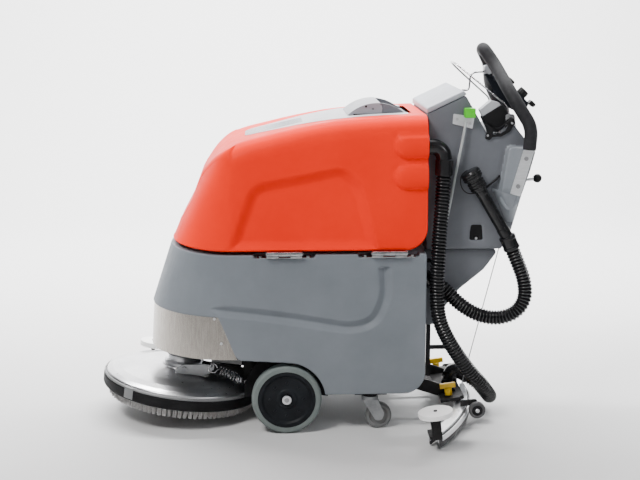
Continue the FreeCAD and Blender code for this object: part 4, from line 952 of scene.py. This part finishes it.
def arch_shade_sheets():
    """Painted shade: a near-black sheet in each wheel arch, behind the wheel, where the arch lies in shadow.
    """
    turns = [radians(-6 + 192 * step / 40) for step in range(41)]
    rim = [(ARCH_RADIUS * cos(turn), ARCH_RADIUS * sin(turn)) for turn in turns]
    count = len(rim)
    for name, side in SIDES:
        walls = (side * SHADE_SHEET_SIDE, side * (SHADE_SHEET_SIDE + SHADE_SHEET_DEPTH))
        corners = [AXLE + Vector((x, wall, z)) for wall in walls for x, z in rim]
        corners += [AXLE + Vector((0, wall, 0)) for wall in walls]
        faces = [(i, i + 1, count + i + 1, count + i) for i in range(count - 1)]
        faces += [(i + 1, i, 2 * count) for i in range(count - 1)]
        faces += [(count + i, count + i + 1, 2 * count + 1) for i in range(count - 1)]
        piece("arch_liner_" + name, mesh_of(corners, faces), "painted_shade", "chassis")


WHEEL_SIDE = 0.225
STUDS = 8
STUD_CIRCLE = 0.048


def drive_wheels():
    """Rubber tyre, disc with its ring of studs, and the bolt at the hub."""
    tyre = ((0.0822, -0.0215), (0.0935, -0.0215, 0.004), (0.0985, -0.017, 0.004), (0.0998, -0.008), (0.1, 0),
            (0.0998, 0.008), (0.0985, 0.017, 0.004), (0.0935, 0.0215, 0.004), (0.0822, 0.0215),
            (0.0822, -0.0215))
    disc = ((0.0102, -0.019), (0.0102, 0.011), (0.020, 0.0155, 0.002), (0.026, 0.0155, 0.002),
            (0.030, 0.0125, 0.002), (0.066, 0.0125, 0.004), (0.071, 0.0185, 0.003), (0.0822, 0.0195, 0.002),
            (0.0822, -0.019), (0.0102, -0.019))
    stud = ((0.0001, 0.0155), (0.0035, 0.0150, 0.001), (0.0042, 0.0118))
    cap = ((0.0001, 0.0228), (0.006, 0.0228, 0.001), (0.0085, 0.0205, 0.001), (0.0128, 0.0200, 0.001),
           (0.0130, 0.0190), (0.0130, 0.0160))
    for name, side in SIDES:
        middle = AXLE + Vector((0, side * WHEEL_SIDE, 0))
        outward = (0, side, 0)
        body = "wheel_" + name
        tread = placed(turned(tyre, 128, 4), middle, outward)
        piece("tread_" + name, tread, "tyre", body, ("tyre_" + name,))
        parts = [turned(disc, 128, 4)]
        for index in range(STUDS):
            place = polar(STUD_CIRCLE, 2 * pi * index / STUDS)
            parts.append(moved(turned(stud, 16), Matrix.Translation(place)))
        face = placed(joined(*parts), middle, outward)
        piece("wheel_disc_" + name, face, "disc", body, ("rim_" + name,))
        piece("hub_bolt_" + name, placed(turned(cap, 48), middle, outward), "fork", "chassis")


def casters():
    half = ((0.0041, 0.013), (0.012, 0.0138, 0.001), (0.0135, 0.0105, 0.001), (0.024, 0.0100, 0.002),
            (0.027, 0.0135, 0.002), (0.0345, 0.013, 0.003), (0.0375, 0.008, 0.003))
    for name, side in SIDES:
        tread = placed(turned(mirrored(half), 72), (0.165, side * 0.197, 0.0375), (0, 1, 0))
        piece("caster_tread_" + name, tread, "caster", "caster_" + name, ("caster_wheel_" + name,))


# ---- controls

def fluted_knob(radius, height, flutes):
    """A turned knob with grip flutes."""
    corners = []
    steps = flutes * 8
    rows = ((0.0, 1.0), (0.75, 0.97), (0.92, 0.93), (0.98, 0.86), (1.0, 0.72), (1.0, 0.02))
    for level, width in rows:
        for step in range(steps):
            turn = 2 * pi * step / steps
            flute = 0.055 * (0.5 + 0.5 * cos(flutes * turn)) if width > 0.9 else 0
            reach = radius * width * (1 - flute)
            corners.append(polar(reach, turn, height * level))
    return grid(corners, len(rows), steps)


# node, radius, height, distance down the panel, flutes
KNOBS = (("speed_knob", 0.012, 0.013, 0.014, 12), ("water_knob", 0.016, 0.018, 0.062, 14))


def panel_knobs():
    """The two knobs on the sloping panel, each with its pale mark."""
    normal = Vector((1, 0, 1)).normalized()
    slope = Vector((1, 0, -1)).normalized()
    top = Vector((0.536, -0.052, 0.987)) + normal * 0.0036
    for node, radius, height, along, flutes in KNOBS:
        base = top + slope * along
        knob = placed(fluted_knob(radius, height, flutes), base, normal)
        piece(node + "_fluted", knob, "black", body_of(node), (node,))
        mark = turned(((0.0001, height + 0.0006), (0.0022, height + 0.0005), (0.0024, height - 0.001)), 16, 2)
        mark = moved(mark, Matrix.Translation((radius * 0.5, 0, 0)))
        piece(node + "_mark", placed(mark, base, normal), "roller", body_of(node))


WAND_TOP = Vector((0.447, -0.200, 0.690))
WAND_END = Vector((0.526, -0.200, 0.557))
CAP_TOP = Vector((0.4143, -0.200, 0.745))
CAP_STRAP = ((0.408, -0.203, 0.748), (0.393, -0.204, 0.739), (0.388, -0.205, 0.718), (0.393, -0.205, 0.697),
             (0.409, -0.205, 0.682), (0.430, -0.203, 0.682), (0.446, -0.201, 0.692))


def drain_wand():
    """Ribbed screw cap with its strap, the tube and the cuff where the hose is pushed in."""
    length = (WAND_TOP - CAP_TOP).length
    cap = [(0.0001, 0.0, 0.001), (0.0255, 0.0, 0.003), (0.0275, 0.004, 0.001)]
    for ridge in range(3):
        z = 0.006 + 0.0066 * ridge
        cap += [(0.0288, z, 0.0012), (0.0288, z + 0.0034, 0.0012), (0.0262, z + 0.0042, 0.0008),
                (0.0262, z + 0.0058, 0.0008)]
    cap += [(0.0245, 0.0270, 0.001), (0.0215, 0.0280, 0.001), (0.0215, 0.0320, 0.001)]
    for ridge in range(3):
        z = 0.0325 + 0.0085 * ridge
        cap += [(0.0248, z + 0.001, 0.001), (0.0248, z + 0.0055, 0.001), (0.0222, z + 0.0065, 0.0008),
                (0.0222, z + 0.008, 0.0008)]
    cap += [(0.0215, length - 0.002, 0.001), (0.0180, length)]
    piece("wand_cap", placed(turned(cap, 72), CAP_TOP, WAND_TOP - CAP_TOP), "hose", "chassis")
    run = (WAND_END - WAND_TOP).length
    body = [(0.0178, 0.0), (0.0178, 0.012, 0.001), (0.0168, 0.014, 0.001), (0.0168, run - 0.030, 0.001),
            (0.0178, run - 0.028, 0.001), (0.0178, run)]
    piece("wand_tube", placed(turned(body, 72), WAND_TOP, WAND_END - WAND_TOP), "hose", "chassis",
          ("drain_wand",))
    start = Vector(DRAIN_HOSE[0])
    run = (start - WAND_END).length
    cuff = [(0.017, -0.004), (0.0225, -0.003, 0.001), (0.0238, 0.0, 0.001), (0.0238, 0.006, 0.001),
            (0.0228, 0.008, 0.0008), (0.0228, run - 0.010, 0.0008), (0.0240, run - 0.008, 0.001),
            (0.0240, run - 0.001, 0.001), (0.0216, run)]
    piece("wand_cuff", placed(turned(cuff, 72), WAND_END, start - WAND_END), "hose", "chassis")
    strap = even(route_line("cap_strap", CAP_STRAP), 0.003)
    piece("cap_strap", tube(strap, 0.0016, 10), "black", "chassis")


COLUMN_SIDE = 0.1710


def column_cups():
    """The moulded cup under each handle strip: a half cone on the column's side, open at the top."""
    around = 24
    # how far each row is drawn inward, dropped into the mouth, and down the cone
    rows = [(0.9, 0.012, 0.0), (0.14, 0.006, 0.0), (0.06, 0.0, 0.0)]
    rows += [(0.0, 0.0, fall) for fall in (0.0, 0.12, 0.25, 0.4, 0.6, 0.8, 1.0)]
    for name, side in SIDES:
        corners = []
        for inward, drop, fall in rows:
            for step in range(around + 1):
                u = step / around
                out = 0.038 * sin(pi * u) ** 0.7 * (1 - fall) ** 0.7 * (1 - inward)
                x = (0.485 + 0.080 * u) * (1 - fall) + (0.528 + 0.019 * u) * fall
                z = (0.694 - 0.025 * u) * (1 - fall) + 0.595 * fall - drop
                corners.append((x, side * (COLUMN_SIDE + out), z))
        cup = grid(corners, len(rows), around + 1, closed=False)
        piece("column_cup_" + name, cup, "ear", "chassis")


def socket_foot():
    """The black plate that holds the battery socket in the column's notch."""
    outline = rounded(((0.458, 0.884, 0.006), (0.465, 0.852, 0.004), (0.461, 0.833, 0.003),
                       (0.474, 0.829, 0.003), (0.484, 0.838, 0.005), (0.507, 0.838, 0.010),
                       (0.532, 0.853, 0.010), (0.546, 0.880, 0.010), (0.538, 0.893, 0.006),
                       (0.500, 0.862, 0.020), (0.478, 0.864, 0.010)), closed=True, steps=4)
    middle = Vector((0.503, 0.858))
    face = COLUMN_SIDE + 0.0042
    rings = ((COLUMN_SIDE, 1.0), (COLUMN_SIDE + 0.003, 1.0), (face, 0.96), (face, 0.5))
    corners = []
    for out, grow in rings:
        spots = [middle.lerp(Vector(point), grow) for point in outline]
        corners += [(spot.x, -out, spot.y) for spot in spots]
    foot = grid(corners, len(rings), len(outline))
    piece("socket_foot", foot, "black", "chassis")
    profile = ((0.0001, 0.0022), (0.0026, 0.0020, 0.0006), (0.0034, 0.0008, 0.0005), (0.0034, -0.001))
    for index, (x, z) in enumerate(((0.468, 0.842), (0.536, 0.876))):
        head = placed(turned(profile, 20), (x, -face, z), (0, -1, 0))
        piece("socket_screw_%d" % index, head, "zinc", "chassis")


def column_pocket():
    """Painted shade for the recess low on the column's near side: a flat near-black patch, with its bolt."""
    outline = rounded(((0.4262, 0.5885, 0.004), (0.4215, 0.5415, 0.004), (0.4645, 0.5415, 0.004),
                       (0.4598, 0.5885, 0.004)), closed=True)
    corners = [Vector((x, -0.1676, z)) for x, z in outline] + [Vector((0.443, -0.1678, 0.565))]
    count = len(outline)
    faces = [(i, (i + 1) % count, count) for i in range(count)]
    piece("column_pocket", mesh_of(corners, faces), "painted_shade", "chassis")
    bolt = turned(((0.0001, 0.0035), (0.0030, 0.0035, 0.0008), (0.0040, 0.0020, 0.0008), (0.0042, 0.0)))
    piece("pocket_bolt", placed(bolt, (0.443, -0.1674, 0.548), (0, -1, 0)), "zinc", "chassis")


SQUEEGEE_PIN = Vector((0.27, 0, 0.105))


def support_rollers():
    """Each roller's tread, its washer and its hub, with the squeegee raised."""
    half = ((0.0042, 0.0095), (0.008, 0.0098, 0.0008), (0.009, 0.0085, 0.0008), (0.0165, 0.0085, 0.001),
            (0.0180, 0.0098, 0.001), (0.0225, 0.0095, 0.0018), (0.0240, 0.006, 0.002))
    disc = ((0.0001, 0.0130), (0.0045, 0.0128, 0.001), (0.0062, 0.0112, 0.001), (0.0062, 0.0099))
    ring = ((0.0065, 0.0100), (0.0145, 0.0100, 0.0012), (0.0152, 0.0086))
    raised = about_y(SQUEEGEE_PIN, -LIFT_ANGLE)
    for name, side in SIDES:
        middle = Vector((0.443, side * 0.2, 0.024))
        body = "support_" + name
        tread = moved(placed(turned(mirrored(half), 64), middle, (0, 1, 0)), raised)
        piece("support_tread_" + name, tread, "blade", body, ("support_roller_" + name,))
        washer = moved(placed(turned(disc), middle, (0, side, 0)), raised)
        piece("support_washer_" + name, washer, "zinc", "squeegee")
        hub = moved(placed(turned(ring, 48), middle, (0, side, 0)), raised)
        piece("support_hub_" + name, hub, "black", body)


# ---- the whole machine

SOFTENED = (
    ("solution_tank", "tank", 0.0030, 1, 0.35), ("rear_column", "column", 0.0036, 5, 0.5),
    ("rear_housing", "column", 0.0045, 5, 0.4), ("column_cap", "cap", 0.0022, 4, 0.5),
    ("control_housing", "case", 0.0018, 4, 0.5), ("paddle_switch", "black", 0.0008, 3, 1.0),
    ("wing_knob_left", "yellow", 0.0010, 5, 0.7), ("wing_knob_right", "yellow", 0.0010, 5, 0.7),
    ("green_tap", "green", 0.0009, 4, 0.8),
)
DRESSED = {
    "cover": ("front_cover",),
    "panel": ("hood_top_panel",),
    "column": ("lid_cradle",),
    "zinc": ("body_screws", "lift_lever", "drive_axle"),
    "hinge": ("tank_hinges", "hood_hinges", "wire_bail", "wire_fittings"),
    "fork": ("caster_fork_left", "caster_fork_right"),
    "lid": ("tank_lid",),
    "aluminium": ("handle_frame", "squeegee_body"),
    "foam": ("handle_grip",),
    "cast": ("brush_motor", "vacuum_motor"),
    "battery": ("battery_pack",),
    "black": ("battery_connector",),
    "hose": ("hose_fittings", "suction_elbow", "squeegee_nozzle"),
    "coat": ("deck_arm", "squeegee_bracket", "chassis_brackets"),
    "roller": ("guide_roller", "wall_roller_left", "wall_roller_right"),
    "blade": ("squeegee_blades",),
}

hood()
hood_neck()
panel_details()
lid_details()
deck_dome()
deck_rim()
deck_clip()
brush()
deck_spring()
arch_shade_sheets()
drive_wheels()
casters()
panel_knobs()
drain_wand()
column_cups()
socket_foot()
column_pocket()
support_rollers()
for node, look, voxel, passes, keep in SOFTENED:
    softened(node, look, voxel, passes, keep)
for look, nodes in DRESSED.items():
    for node in nodes:
        dressed(node, look)
